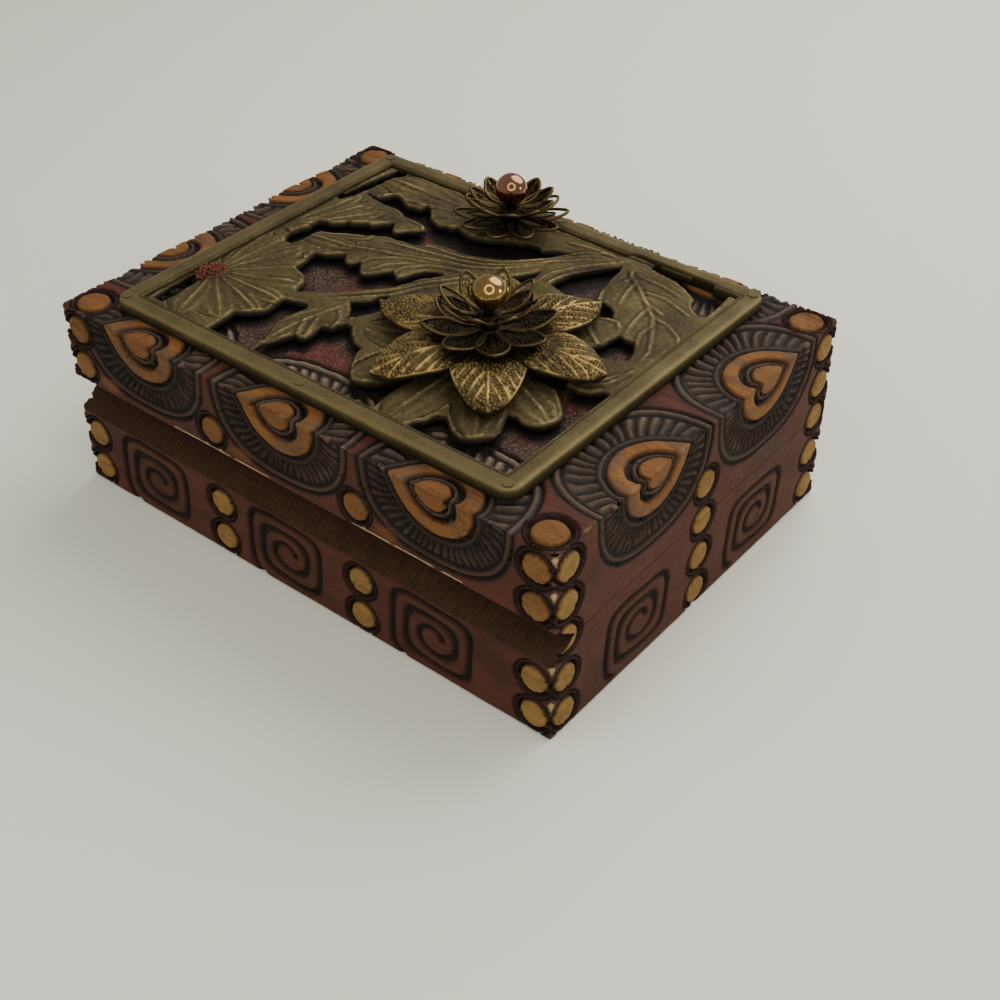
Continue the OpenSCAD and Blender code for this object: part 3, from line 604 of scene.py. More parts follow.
def box_mesh(low, high):
    """A plain block, as a tool to cut with."""
    corners = [(x, y, z) for z in (low[2], high[2]) for y in (low[1], high[1]) for x in (low[0], high[0])]
    faces = [(0, 2, 3, 1), (4, 5, 7, 6), (0, 1, 5, 4), (2, 6, 7, 3), (0, 4, 6, 2), (1, 3, 7, 5)]
    return make_mesh("cutter", corners, faces, shade=False)


def tint_cut(mesh, low, high):
    """Gives the points inside a cutter's box the tints of unstained wood."""
    points, near = mesh_points(mesh), 0.02
    inside = np.all((points > np.array(low) - near) & (points < np.array(high) + near), axis=1)
    for label, values in plain_layers(len(points)).items():
        layer = mesh.color_attributes[label]
        colours = np.empty(4 * len(points), np.float32)
        layer.data.foreach_get("color", colours)
        colours = np.where(inside[:, None], values, colours.reshape(-1, 4))
        layer.data.foreach_set("color", colours.astype(np.float32).ravel())


def cut_hinge_seats(obj, body):
    """Sinks the hinge leaves and barrels into a back board."""
    barrel, gap, end_gap = 1.75, 0.3, 0.6
    level = BASE_TOP if body == "base" else LID_BOTTOM
    for side in ("left", "right"):
        low, high = node_box("hinge_%s_%s_leaf" % (side, body))
        pin_low, pin_high = node_box("hinge_%s_pin" % side)
        axis = (pin_low[1] + pin_high[1]) / 2
        inner = axis - barrel - 0.4
        seats = (((low[0], low[1], level - 1), (high[0], inner + 0.2, level + 1)),
                 ((low[0] - end_gap, inner, JOINT - barrel - gap),
                  (high[0] + end_gap, axis + barrel + 1, JOINT + barrel + gap)))
        for ends in seats:
            seat = box_mesh(*ends)
            cutter = in_scene("cutter", seat)
            modifier = obj.modifiers.new("seat", "BOOLEAN")
            modifier.operation = "DIFFERENCE"
            modifier.object = cutter
            mesh = evaluated(obj)
            tint_cut(mesh, *ends)
            obj.modifiers.clear()
            old, obj.data = obj.data, mesh
            mesh.name = old.name
            bpy.data.meshes.remove(old)
            bpy.data.objects.remove(cutter)
            bpy.data.meshes.remove(seat)


def wall_board(body, facing):
    """One upright board of the base or lid; facing is front, back, left or right."""
    axis, side = WALLS[facing]
    lid = body == "lid"
    bottom, top, inner_top = (LID_BOTTOM, BOX_TOP, BOX_TOP - WALL) if lid else (0.0, BASE_TOP, BASE_TOP)
    z = np.linspace(bottom, top, WALL_ROWS)
    s = np.linspace(0, 1, int(2 * HALF[1 - axis] / GRID) + 1)
    zz, ss = np.meshgrid(z, s)
    low, high = (corner_lines(z, lid, *wall_place(end, side, axis))[1 - axis] for end in (-1, 1))
    uu = low + (high - low) * ss
    if lid:
        arris, height = top_line(uu[:, -1], axis, side)
        zz = bottom + (zz - bottom) * (height[:, None] - bottom) / (top - bottom)
    face = wall_face(uu, zz, lid, axis, side)
    out = side * (HALF[axis] - face.depth)
    if lid:
        out[:, -1] = arris
    outer = np.stack([*wall_place(uu, out, axis), zz], -1)
    corners = [(*wall_place(end * INNER[1 - axis], side * INNER[axis], axis), level)
               for end, level in ((-1, bottom), (1, bottom), (1, inner_top), (-1, inner_top))]
    board = solid_board("%s_board_%s" % (body, facing), outer, corners, face.tint_layers(), body,
                        "%s_%s" % (body, facing))
    if facing == "back":
        cut_hinge_seats(board, body)


def top_board():
    """The top of the lid, fine in its carved border and coarser under the overlay."""
    strip = 4.0
    columns, rows = (int(2 * half / TOP_GRID / BLOCK) * BLOCK for half in HALF)
    x = np.linspace(-HALF_X, HALF_X, columns + 1)
    y = np.linspace(-HALF_Y, HALF_Y, rows + 1)
    xx, yy = np.meshgrid(x, y, indexing="ij")
    for side in (-1, 1):
        shift = top_line(x, 1, side)[0][:, None] - side * HALF_Y
        yy = yy + np.clip((side * yy - HALF_Y + strip) / strip, 0, 1) * shift
    for side in (-1, 1):
        shift = top_line(y, 0, side)[0] - side * HALF_X
        xx = xx + np.clip((side * xx - HALF_X + strip) / strip, 0, 1) * shift
    face = top_face(xx, yy)
    outer = np.stack([xx, yy, BOX_TOP - face.depth], -1)
    border = int(FINE_BORDER / TOP_GRID / BLOCK + 1)
    whole = np.zeros((columns // BLOCK, rows // BLOCK), bool)
    whole[border:-border, border:-border] = True
    faces = block_faces(np.arange(xx.size).reshape(xx.shape), np.ones((columns, rows), bool), whole)
    corners = [(x * INNER_X, y * INNER_Y, BOX_TOP - WALL) for x, y in ((-1, -1), (1, -1), (1, 1), (-1, 1))]
    solid_board("top_board", outer, corners, face.tint_layers(), "lid", "lid_top", faces)


# ---- Materials ----

def colour(r, g, b):
    """A colour given as it looks on screen, from 0 to 255."""
    def linear(c):
        """One channel as light."""
        c = c / 255
        return c / 12.92 if c <= 0.04045 else ((c + 0.055) / 1.055) ** 2.4
    return (linear(r), linear(g), linear(b), 1.0)


class Tree:
    """Short hand for building a node tree."""

    def __init__(self, tree):
        """Works on this tree."""
        self.tree = tree

    def fill(self, sockets, values):
        """Links sockets to others, or sets them to plain values."""
        for key, value in dict(values).items():
            if isinstance(value, bpy.types.NodeSocket):
                self.tree.links.new(value, sockets[key])
            else:
                sockets[key].default_value = value

    def node(self, kind, inputs=(), **settings):
        """A node with its settings and inputs."""
        made = self.tree.nodes.new(kind)
        for key, value in settings.items():
            setattr(made, key, value)
        self.fill(made.inputs, inputs)
        return made

    def math(self, operation, a, b):
        """One step of arithmetic."""
        return self.node("ShaderNodeMath", {0: a, 1: b}, operation=operation).outputs[0]

    def plus(self, a, b):
        """a + b."""
        return self.math("ADD", a, b)

    def minus(self, a, b):
        """a - b."""
        return self.math("SUBTRACT", a, b)

    def times(self, a, b):
        """a * b."""
        return self.math("MULTIPLY", a, b)

    def mix(self, amount, a, b):
        """From a to b by the amount; three numbers are a colour as it looks on screen."""
        a, b = (colour(*tone) if isinstance(tone, tuple) else tone for tone in (a, b))
        made = self.node("ShaderNodeMix", {0: amount, 6: a, 7: b}, data_type="RGBA", clamp_factor=True)
        return made.outputs[2]

    def ramp(self, value, low, high):
        """0 below low and 1 above high, smooth between them."""
        inputs = {0: value, 1: low, 2: high}
        return self.node("ShaderNodeMapRange", inputs, interpolation_type="SMOOTHSTEP").outputs[0]

    def clouds(self, place, scale, detail, roughness=0.5):
        """A noise pattern from 0 to 1."""
        inputs = {"Vector": place, "Scale": scale, "Detail": detail, "Roughness": roughness}
        return self.node("ShaderNodeTexNoise", inputs).outputs[0]

    def stretched(self, place, factors):
        """A place with each axis multiplied by its factor."""
        return self.node("ShaderNodeVectorMath", {0: place, 1: factors}, operation="MULTIPLY").outputs[0]

    def bump(self, height, strength, distance):
        """A normal that follows a height."""
        inputs = {"Height": height, "Strength": strength, "Distance": distance}
        return self.node("ShaderNodeBump", inputs).outputs[0]

    def masks(self, name):
        """The three masks that a colour attribute holds."""
        made = self.node("ShaderNodeAttribute", attribute_name=name)
        return self.node("ShaderNodeSeparateColor", {0: made.outputs["Color"]}).outputs

    def group(self, tree, inputs):
        """Outputs of a node group placed with these inputs."""
        return self.node("ShaderNodeGroup", inputs, node_tree=tree).outputs


def shader_group(name, inputs, outputs):
    """An empty shader group with named inputs and outputs."""
    tree = bpy.data.node_groups.new(name, "ShaderNodeTree")
    for label, value in inputs.items():
        kind = "NodeSocketVector" if isinstance(value, tuple) else "NodeSocketFloat"
        tree.interface.new_socket(label, in_out="INPUT", socket_type=kind).default_value = value
    for label in outputs:
        tree.interface.new_socket(label, in_out="OUTPUT", socket_type="NodeSocketFloat")
    return Tree(tree), tree.nodes.new("NodeGroupInput").outputs, tree.nodes.new("NodeGroupOutput").inputs


def grain_group():
    """Long streaks of wood grain along one axis, with pores."""
    build, given, out = shader_group(
        "Wood grain", {"Place": (0.0, 0.0, 0.0), "Stretch": (60.0, 700.0, 700.0), "Pores": 0.5},
        ("Streaks", "Height"))
    place = build.stretched(given["Place"], given["Stretch"])
    fine = build.clouds(place, 1.6, 4.0, 0.65)
    streaks = build.plus(build.times(build.clouds(place, 0.35, 3.0), 0.6), build.times(fine, 0.4))
    pores = build.times(build.minus(1.0, build.ramp(fine, 0.34, 0.44)), given["Pores"])
    build.fill(out, {"Streaks": streaks, "Height": build.minus(streaks, pores)})
    return build.tree


def grit_group():
    """Fine speckle and scratches that break up a worked surface."""
    build, given, out = shader_group(
        "Grit", {"Place": (0.0, 0.0, 0.0), "Size": 900.0, "Contrast": 0.5}, ("Value", "Height"))
    coarse = build.clouds(given["Place"], given["Size"], 5.0, 0.7)
    wide = build.clouds(given["Place"], 90.0, 3.0)
    spread, drift = (build.times(build.minus(value, 0.5), given["Contrast"]) for value in (coarse, wide))
    build.fill(out, {"Value": build.plus(build.plus(spread, drift), 0.5), "Height": coarse})
    return build.tree


GRAIN = grain_group()
GRIT = grit_group()


def new_material(name):
    """A new material, with its tree, its shader's inputs and the place on the piece."""
    material = bpy.data.materials.new(name)
    material.use_nodes = True
    material.node_tree.nodes.clear()
    build = Tree(material.node_tree)
    shader = build.node("ShaderNodeBsdfPrincipled")
    build.node("ShaderNodeOutputMaterial", {"Surface": shader.outputs[0]})
    place = build.node("ShaderNodeTexCoord").outputs["Object"]
    return material, build, shader.inputs, place


def even_material(name, inputs):
    """A material that is the same all over."""
    material, build, shader, _ = new_material(name)
    build.fill(shader, inputs)
    return material


def carved_wood_material():
    """Stained wood: burnt grooves, bare yellow rounds, orange hearts, worn pale edges; the burnt near-black
    also paints shade beside the overlay, round the spirals and deep in the finger groove.
    """
    material, build, shader, place = new_material("Carved wood")
    bare_mask, orange_mask, burnt_and_shade_mask = build.masks("finish")[:3]
    chip_mask, ash_mask, plain_mask = build.masks("wear")[:3]
    ground = build.masks("ground")[0]
    grain = build.group(GRAIN, {"Place": place})
    grit = build.group(GRIT, {"Place": place, "Contrast": 0.9})
    speck = build.clouds(place, 1500.0, 2.0)
    drift = build.clouds(place, 75.0, 2.0)
    scratch = build.clouds(build.stretched(place, (2400.0, 260.0, 130.0)), 1.0, 3.0)

    stain = build.mix(grain["Streaks"], (44, 21, 16), (104, 53, 40))
    stain = build.mix(build.times(grit["Value"], 0.35), stain, (66, 46, 34))
    stain = build.mix(build.times(build.ramp(drift, 0.45, 0.7), 0.5), stain, (46, 29, 23))
    rubble = build.mix(build.ramp(speck, 0.35, 0.65), (42, 28, 23), (86, 66, 56))
    rubble = build.mix(build.times(build.ramp(drift, 0.50, 0.62), 0.6), rubble,
                       build.mix(speck, (70, 28, 23), (116, 54, 46)))
    rubble = build.mix(build.times(build.ramp(speck, 0.64, 0.72), 0.6), rubble, (140, 118, 102))
    bare = build.mix(grain["Streaks"], (84, 60, 28), (166, 128, 70))
    orange = build.mix(grain["Streaks"], (74, 44, 17), (148, 99, 51))
    orange = build.mix(build.ramp(grit["Value"], 0.55, 0.85), orange, (72, 46, 24))
    # The burnt near-black also serves as painted shadow beside the overlay and round the spirals, and as
    # painted shade deep in the finger groove.
    burnt = build.mix(grit["Value"], (6, 5, 5), (36, 30, 26))
    ash = build.mix(grit["Value"], (54, 45, 36), (112, 98, 82))
    ash = build.mix(build.times(ground, 0.6), ash, (150, 132, 112))
    chip = build.mix(grit["Value"], (142, 118, 84), (200, 176, 134))
    plain = build.mix(build.ramp(scratch, 0.25, 0.75), (36, 24, 13), (70, 49, 29))

    shade = stain
    for mask, finish in ((ground, rubble), (bare_mask, bare), (orange_mask, orange), (burnt_and_shade_mask, burnt),
                         (ash_mask, ash), (plain_mask, plain), (chip_mask, chip)):
        shade = build.mix(mask, shade, finish)
    height = build.plus(grain["Height"], build.times(grit["Height"], 0.8))
    height = build.plus(height, build.times(build.times(ground, 2.5), speck))
    build.fill(shader, {"Base Color": shade, "Specular IOR Level": 0.16,
                        "Roughness": build.plus(build.times(grit["Value"], 0.3), 0.5),
                        "Normal": build.bump(height, 0.6, 0.0004)})
    return material


def plain_wood_material():
    """The unlined inside and floor."""
    material, build, shader, place = new_material("Plain wood")
    grain = build.group(GRAIN, {"Place": place, "Pores": 0.7})
    build.fill(shader, {"Base Color": build.mix(grain["Streaks"], (48, 28, 18), (104, 70, 46)),
                        "Roughness": 0.62, "Specular IOR Level": 0.2,
                        "Normal": build.bump(grain["Height"], 0.4, 0.0003)})
    return material


def metal_material(name, dark, mid, bright, smoothest, roughest, bump=0.0002, metallic=1.0):
    """Old metal: dark in its hollows, rubbed bright on its ridges."""
    material, build, shader, place = new_material(name)
    relief = build.masks("relief")[0]
    grit = build.group(GRIT, {"Place": place, "Size": 1400.0, "Contrast": 1.1})
    ridge = build.ramp(relief, 0.52, 0.9)
    shade = build.mix(grit["Value"], mid, dark)
    shade = build.mix(build.ramp(relief, 0.5, 0.1), shade, dark)
    worn = build.plus(build.times(grit["Value"], roughest - smoothest), smoothest)
    build.fill(shader, {"Base Color": build.mix(ridge, shade, bright), "Metallic": metallic,
                        "Roughness": build.minus(worn, build.times(ridge, 0.12)),
                        "Normal": build.bump(grit["Height"], 0.5, bump)})
    return material


carved_wood = carved_wood_material()
plain_wood = plain_wood_material()
overlay_metal = metal_material("Overlay metal", (38, 31, 16), (105, 90, 49), (146, 128, 82), 0.56, 0.80,
                               bump=0.0004, metallic=0.6)
petal_metal = metal_material("Petal metal", (44, 35, 19), (112, 93, 54), (186, 154, 90), 0.40, 0.60,
                             metallic=0.85)
wire_metal = metal_material("Wire metal", (18, 14, 9), (74, 60, 38), (136, 114, 72), 0.36, 0.55)
bead_metal = metal_material("Bead metal", (120, 92, 48), (204, 166, 100), (222, 180, 108), 0.08, 0.16,
                            bump=0.00003)
copper_bead = metal_material("Copper bead", (100, 66, 44), (190, 140, 108), (214, 160, 124), 0.08, 0.16,
                             bump=0.00003)
hinge_brass = metal_material("Hinge brass", (70, 54, 24), (168, 138, 76), (196, 168, 104), 0.3, 0.45)
pin_metal = metal_material("Pin metal", (96, 83, 49), (150, 130, 84), (200, 180, 120), 0.56, 0.80,
                           metallic=0.6)
copper_grains = metal_material("Copper grains", (70, 38, 24), (138, 82, 58), (160, 104, 76), 0.45, 0.65,
                               metallic=0.7)


def tint_relief(mesh, relief):
    """Stores how far a metal surface stands out, 0 in its hollows and 1 on its ridges."""
    tint = np.ones((len(mesh.vertices), 4))
    tint[:, 0] = relief
    add_layer(mesh, "relief", tint)


def metal_mesh(name, points, faces, relief, angle, merge=False):
    """A metal piece with its relief, whose edges above the angle are hard."""
    mesh = make_mesh(name, points, faces)
    tint_relief(mesh, relief)
    sharpen(mesh, angle, merge)
    return mesh


# ---- Overlay ----

# Width of the rim, and the centres of the two flowers and the two stamped blossoms
RIM = 5.2
LARGE = np.array((20.5, -9.0))
SMALL = np.array((-10.8, 38.3))
LEFT = np.array((-53.5, -24.5))
HEARTS = (LARGE, SMALL, LEFT, np.array((-57.5, 2.0)))

# Petals stamped in the sheet: direction, reach, half width
UNDER_LARGE = [(201.8, 30, 7.5), (240.4, 33.5, 7.5), (270, 35, 7), (304, 35, 6.5), (333.4, 32.5, 7)]
UNDER_SMALL = [(150, 40, 6), (166, 44, 6), (179, 46, 6.5), (191, 38, 6), (203, 29, 6), (218, 23, 6),
               (240, 16, 5.5), (265, 14, 5), (300, 12, 5)]
LOWER_LEFT = [(-68, 20, 6), (-39, 21.5, 6.5), (-17, 22.5, 5), (1, 22.5, 5), (24, 23, 6), (45, 25, 6),
              (68, 23, 6), (86, 24, 5), (101, 23, 5)]
UPPER_LEFT = [(8, 23, 4), (24, 25, 4.5), (40, 28, 4.5), (53, 27, 4), (65, 26, 4), (78, 25, 4)]

# Raised veins of the leaves and stems
VEINS = [
    [(-21, 19.5), (-12, 20.3), (-6, 22.5), (0, 27), (4, 32), (9, 37), (16, 42), (24, 45)],
    [(-31, 15.2), (-22, 17.5), (-10, 19), (-2, 22.5), (3, 28), (9, 34), (14, 39), (22, 44)],
    [(-38, 9.5), (-30, 13), (-20, 14.8), (-10, 17), (-4, 19), (2, 24), (8, 31), (14, 37), (22, 43)],
    [(-42, 2), (-34, 6), (-24, 9.5), (-14, 13.5), (-6, 16), (0, 20), (6, 27), (9, 33)],
    [(-20, 1), (-18.6, 6), (-15, 10), (-9, 12.5), (-4, 14)],
    [(-30, -1), (-28, 4), (-22, 9), (-14, 12)],
    [(-25, -1), (-23, 4), (-18, 9)],
    [(-27, -17), (-20, -11), (-13.5, -3.5), (-9.5, 4), (-5, 10), (-1, 16), (3, 20)],
    [(-26, -19), (-19, -12.8), (-12, -5), (-8, 2.5), (-3.5, 8.5), (0.5, 14)],
    [(10.5, 19), (11, 26), (14, 32), (20, 39.5), (24, 44)],
    [(12.8, 21), (14, 27), (17.5, 33), (21.5, 39)],
    [(24, 45.2), (14, 45), (4, 44.6), (-4, 43.4)],
    [(22, 42.6), (12, 42.2), (4, 41)],
    [(24, 41), (28, 37), (33, 33), (38, 28.5), (42, 25), (46, 19), (50, 12), (51, 4)],
    [(36, 30), (40, 28.2), (44, 27)],
    [(26, 40), (28, 36), (27.5, 33.5)],
    [(30, 35.5), (31, 30), (33, 24)],
    [(39, 27.5), (39.5, 22), (41.5, 13.5)],
    [(44, 22), (44, 17), (46, 12)],
    [(42, 25), (47, 24), (52, 21), (54, 18)],
    [(33, 33), (40, 33.5), (50, 30)],
    [(28, 38.5), (36, 38), (44, 36)],
    [(24.5, 30), (28, 23), (31, 17.5), (37, 18), (40, 15)],
    [(30, 15), (34, 11), (40, 7)],
    [(52, 6), (50, -4), (45, -8.5)],
    [(50.5, 2), (48, -4), (43, -7.5)],
    [(-22, -39), (-21.2, -30), (-19.5, -22), (-17.5, -15)],
    [(-24.5, -31), (-23.6, -26), (-21.5, -21)],
    [(-15.5, -32), (-17.5, -27.5), (-19.3, -23)],
    [(-17.5, -33), (-19.5, -29), (-20.8, -26)],
    [(-13, -26), (-14.5, -21), (-18, -18)],
    [(-12, -20), (-15, -17), (-18, -15)],
    [(-54.5, 38), (-44, 39), (-34, 40.5)],
    [(-50, 31), (-42, 34), (-34, 38)],
    [(-40, 31), (-34, 34.5), (-29, 37)],
    [(-33, 30), (-28, 32), (-24, 34)],
]


def segment_distance(points, path):
    """Distance from each point to a line of segments, and how far along it, 0 to 1."""
    best = np.full(len(points), 1e9)
    best_t = np.zeros(len(points))
    path = np.asarray(path, float)
    for k in range(len(path) - 1):
        a, d = path[k], path[k + 1] - path[k]
        t = np.clip(((points - a) @ d) / (d @ d), 0, 1)
        dist = np.linalg.norm(points - a - t[:, None] * d, axis=1)
        nearer = dist < best
        best[nearer] = dist[nearer]
        best_t[nearer] = (k + t[nearer]) / (len(path) - 1)
    return best, best_t


def petal_relief(points, centre, petals):
    """Height of a ring of stamped petals: blunt, rounded across, with fine lengthwise veins."""
    height = np.zeros(len(points))
    for k, (angle, reach, half) in enumerate(petals):
        a = math.radians(angle)
        d = points - centre
        s = (d[:, 0] * math.cos(a) + d[:, 1] * math.sin(a)) / reach
        across = -d[:, 0] * math.sin(a) + d[:, 1] * math.cos(a)
        tip = np.sqrt(np.clip(1 - (np.clip(s - 0.62, 0, 0.38) / 0.39) ** 2, 0, 1))
        t = across / (half * (0.16 + 0.84 * smooth(s / 0.6)) * tip + 0.1)
        inside = (np.abs(t) < 1) & (s > 0.04) & (s < 1)
        dome = np.clip(1 - np.abs(t) ** 3, 0, 1) ** 0.5 * (0.72 + 0.3 * s)
        ribs = 0.10 * np.cos(t * 13 + 2 * noise(s * 9, across, 1.5, 83 + k)) * smooth((s - 0.1) / 0.3)
        midrib = 0.22 * np.exp(-(across / 0.45) ** 2) * smooth((0.92 - s) / 0.1)
        height = np.maximum(height, np.where(inside, 1.1 * dome + ribs + midrib, 0))
    return height


def sheet_outline():
    """Edges of the openwork at the top of its sheet, from the CAD node, in millimetres."""
    mesh = nodes["overlay_plate"].data
    points = mesh_points(mesh)
    level = np.abs(points[:, 2] - SHEET_TOP) < 0.02
    segments = []
    for polygon in mesh.polygons:
        if abs(polygon.normal.z) > 0.5:
            continue
        ids = polygon.vertices
        for a, b in zip(ids, list(ids[1:]) + [ids[0]]):
            if level[a] and level[b]:
                p, q = points[a][:2], points[b][:2]
                if np.linalg.norm(p - q) > 1e-4:
                    segments.append((p, q))
    return np.array(segments)


def edge_finder(low, high):
    """Samples along the edges of the openwork, in a tree that finds the nearest one."""
    margin, spacing = 0.5, 0.12
    samples = []
    for p, q in sheet_outline():
        middle = (p + q) / 2
        if np.all(low + margin < middle) and np.all(middle < high - margin):
            count = max(1, int(np.linalg.norm(q - p) / spacing))
            samples += [p + (q - p) * t for t in (np.arange(count) + 0.5) / count]
    edges = KDTree(len(samples))
    for k, p in enumerate(samples):
        edges.insert((p[0], p[1], 0), k)
    edges.balance()
    return edges


def corner_sum(cells):
    """How many of the cells round each grid point are filled."""
    total = np.zeros((cells.shape[0] + 1, cells.shape[1] + 1), int)
    for i in (0, 1):
        for j in (0, 1):
            total[i:i + cells.shape[0], j:j + cells.shape[1]] += cells
    return total


def leaf_sheet():
    """The stamped leaves: a sheet cut to the CAD outline and embossed."""
    low, high = plate_low[:2] + RIM - 0.8, plate_high[:2] - RIM + 0.8
    x, y, cells = plate_cells(SHEET_GRID, low, high)
    xx, yy = np.meshgrid(x, y, indexing="ij")
    edges = edge_finder(low, high)
    filled = corner_sum(cells)
    used = filled > 0
    number = np.full(xx.shape, -1)
    number[used] = np.arange(used.sum())
    points = np.stack([xx[used], yy[used]], -1)
    border = filled[used] < 4
    distance = np.empty(len(points))
    for k, p in enumerate(points):
        near, _, dist = edges.find((p[0], p[1], 0))
        distance[k] = dist
        if border[k] and dist < 1.6 * SHEET_GRID:
            points[k] = near[:2]
            distance[k] = 0
    height = sheet_height(points, distance)
    stands_out = height - blurred(height, used)
    uneven = rough(points[:, 0], points[:, 1], 9.0, 86) - 0.5
    relief = np.clip(0.42 + 1.6 * stands_out + 0.10 * (height - 0.9) + 0.30 * uneven, 0, 1)
    relief = np.minimum(relief, 0.40 + distance * 0.5)
    upper = np.column_stack([points, SHEET_TOP - 0.55 + height])
    lower = np.column_stack([points, np.full(len(points), SHEET_LOW)])
    quads = grid_quads(number)[cells.ravel()]
    columns, rows = cells.shape[0] // BLOCK, cells.shape[1] // BLOCK
    whole = cells[:columns * BLOCK, :rows * BLOCK].reshape(columns, BLOCK, rows, BLOCK).all((1, 3))
    count = len(points)
    walls = [[a, a + count, b + count, b] for a, b in border_edges(quads)]
    under = [[k + count for k in face[::-1]] for face in block_faces(number, cells, whole)]
    mesh = metal_mesh("leaf_sheet", np.concatenate([upper, lower]), quads.tolist() + under + walls,
                      np.append(relief, np.full(count, 0.1)), 0.9)
    add_object("leaf_sheet", mesh, overlay_metal, "lid")


def blurred(values, used, passes=6):
    """The values smoothed over the grid that they lie on."""
    grid = np.zeros(used.shape)
    weight = used.astype(float)
    grid[used] = values
    for _ in range(passes):
        total, amount = grid * weight, weight.copy()
        for axis in (0, 1):
            for shift in (-1, 1):
                total += np.roll(grid * weight, shift, axis)
                amount += np.roll(weight, shift, axis)
        grid = np.where(amount > 0, total / np.maximum(amount, 1e-9), 0)
    return grid[used]


def sheet_height(points, distance):
    """Embossed height of the openwork above its flat."""
    x, y = points[:, 0], points[:, 1]
    height = 0.35 + 0.80 * (1 - np.exp(-distance / 1.1)) + 0.22 * (rough(x, y, 6.0, 80) - 0.5)
    petals = np.zeros(len(points))
    for centre, ring in zip(HEARTS, (UNDER_LARGE, UNDER_SMALL, LOWER_LEFT, UPPER_LEFT)):
        petals = np.maximum(petals, petal_relief(points, centre, ring))
    on_petal = petals > 0
    height = np.where(on_petal, 0.25 + petals * (1 - np.exp(-distance / 0.8)), height)
    for vein in VEINS:
        dist, along = segment_distance(points, vein)
        taper = smooth(along * 6) * smooth((1 - along) * 6)
        raised = 0.23 * np.exp(-(dist / 0.45) ** 2) - 0.14 * np.exp(-((dist - 1.0) / 0.40) ** 2)
        height = height + raised * taper * (1 - 0.6 * on_petal)
    lip = 0.16 * np.exp(-((distance - 0.7) / 0.35) ** 2)
    height = height + lip + 0.20 * (rough(x, y, 1.4, 81) - 0.5) + 0.12 * (noise(x, y, 0.7, 84) - 0.5)
    return np.clip(height, 0.05, 1.72)


# Section of the rim: how far in from the plate's edge, how high over the wood, and its relief
RIM_SECTION = (
    (0.0, 0.0, 0.1), (0.0, 1.7, 0.4), (0.12, 2.3, 0.62), (0.4, 2.72, 0.74), (0.9, 2.92, 0.66),
    (1.8, 2.96, 0.60), (2.8, 2.96, 0.60), (3.7, 2.94, 0.60), (4.2, 2.86, 0.56), (4.4, 2.66, 0.22),
    (4.6, 2.66, 0.22), (4.8, 2.84, 0.60), (5.0, 2.80, 0.5), (5.2, 2.3, 0.3), (5.2, 0.0, 0.1))
RIM_RADIUS = 4.2


def rim_stations(arc=8, run=110):
    """Places round the rim: the corner or the share of a side, and the direction outwards."""
    stations = []
    corners = ((1, 1), (-1, 1), (-1, -1), (1, -1))
    for q, (sx, sy) in enumerate(corners):
        for k in range(arc + 1):
            a = math.pi / 2 * (q + k / arc)
            stations.append((sx, sy, math.cos(a), math.sin(a)))
        nx, ny = corners[(q + 1) % 4]
        a = math.pi / 2 * (q + 1)
        for t in np.linspace(0, 1, run)[1:-1]:
            stations.append((sx + (nx - sx) * t, sy + (ny - sy) * t, math.cos(a), math.sin(a)))
    return stations


def rim():
    """The rolled rim: its section swept round the plate, and narrower along a stretch of the back."""
    core = PLATE_HALF - RIM_RADIUS
    stations = rim_stations()
    narrow = 3.2
    points = []
    for sx, sy, cx, cy in stations:
        pinched = sy > 0.99 and cy > 0.99 and 0.42 < sx < 0.86
        for inset, level, _ in RIM_SECTION:
            r = RIM_RADIUS - (narrow + (inset - narrow) * 0.35 if pinched and inset > narrow else inset)
            if r >= 0:
                x, y = sx * core[0] + r * cx, sy * core[1] + r * cy
            else:
                x, y = sx * (core[0] + r), sy * (core[1] + r)
            dent = 0.05 * (float(noise(x, y, 5.0, 91)) - 0.5) + 0.03 * (float(noise(x, y, 1.4, 92)) - 0.5)
            points.append((PLATE_MIDDLE[0] + x, PLATE_MIDDLE[1] + y, BOX_TOP + level * (1 + dent)))
    relief = [tone for _, _, tone in RIM_SECTION] * len(stations)
    faces = tube_faces(len(stations), len(RIM_SECTION), closed=True)
    mesh = metal_mesh("overlay_rim", points, faces, relief, 1.2, merge=True)
    add_object("overlay_rim", mesh, overlay_metal, "lid", "overlay_plate")


# ---- Flowers ----

PETAL_START = 4
PETAL_LENGTH = 26
OUTLINED_START = 1.8


def sheet_from_grid(name, top, thick, relief):
    """Closed sheet from a grid of points, thickened downwards."""
    rows, columns = top.shape[:2]
    count = rows * columns
    quads = grid_quads(np.arange(count).reshape(rows, columns))
    low = top - np.array((0, 0, thick))
    walls = [[a, a + count, b + count, b] for a, b in border_edges(quads)]
    faces = quads.tolist() + (quads[:, ::-1] + count).tolist() + walls
    points = np.concatenate([top.reshape(-1, 3), low.reshape(-1, 3)])
    return metal_mesh(name, points, faces, np.append(relief, np.full(count, 0.15)), 1.1)


def patch_mesh(grid, drawn=None):
    """A surface through a grid of points, for granules to stand on where its cells are drawn."""
    quads = grid_quads(np.arange(grid.shape[0] * grid.shape[1]).reshape(grid.shape[:2]))
    if drawn is not None:
        quads = quads[drawn.ravel()]
    return make_mesh("patch", grid.reshape(-1, 3), quads.tolist())


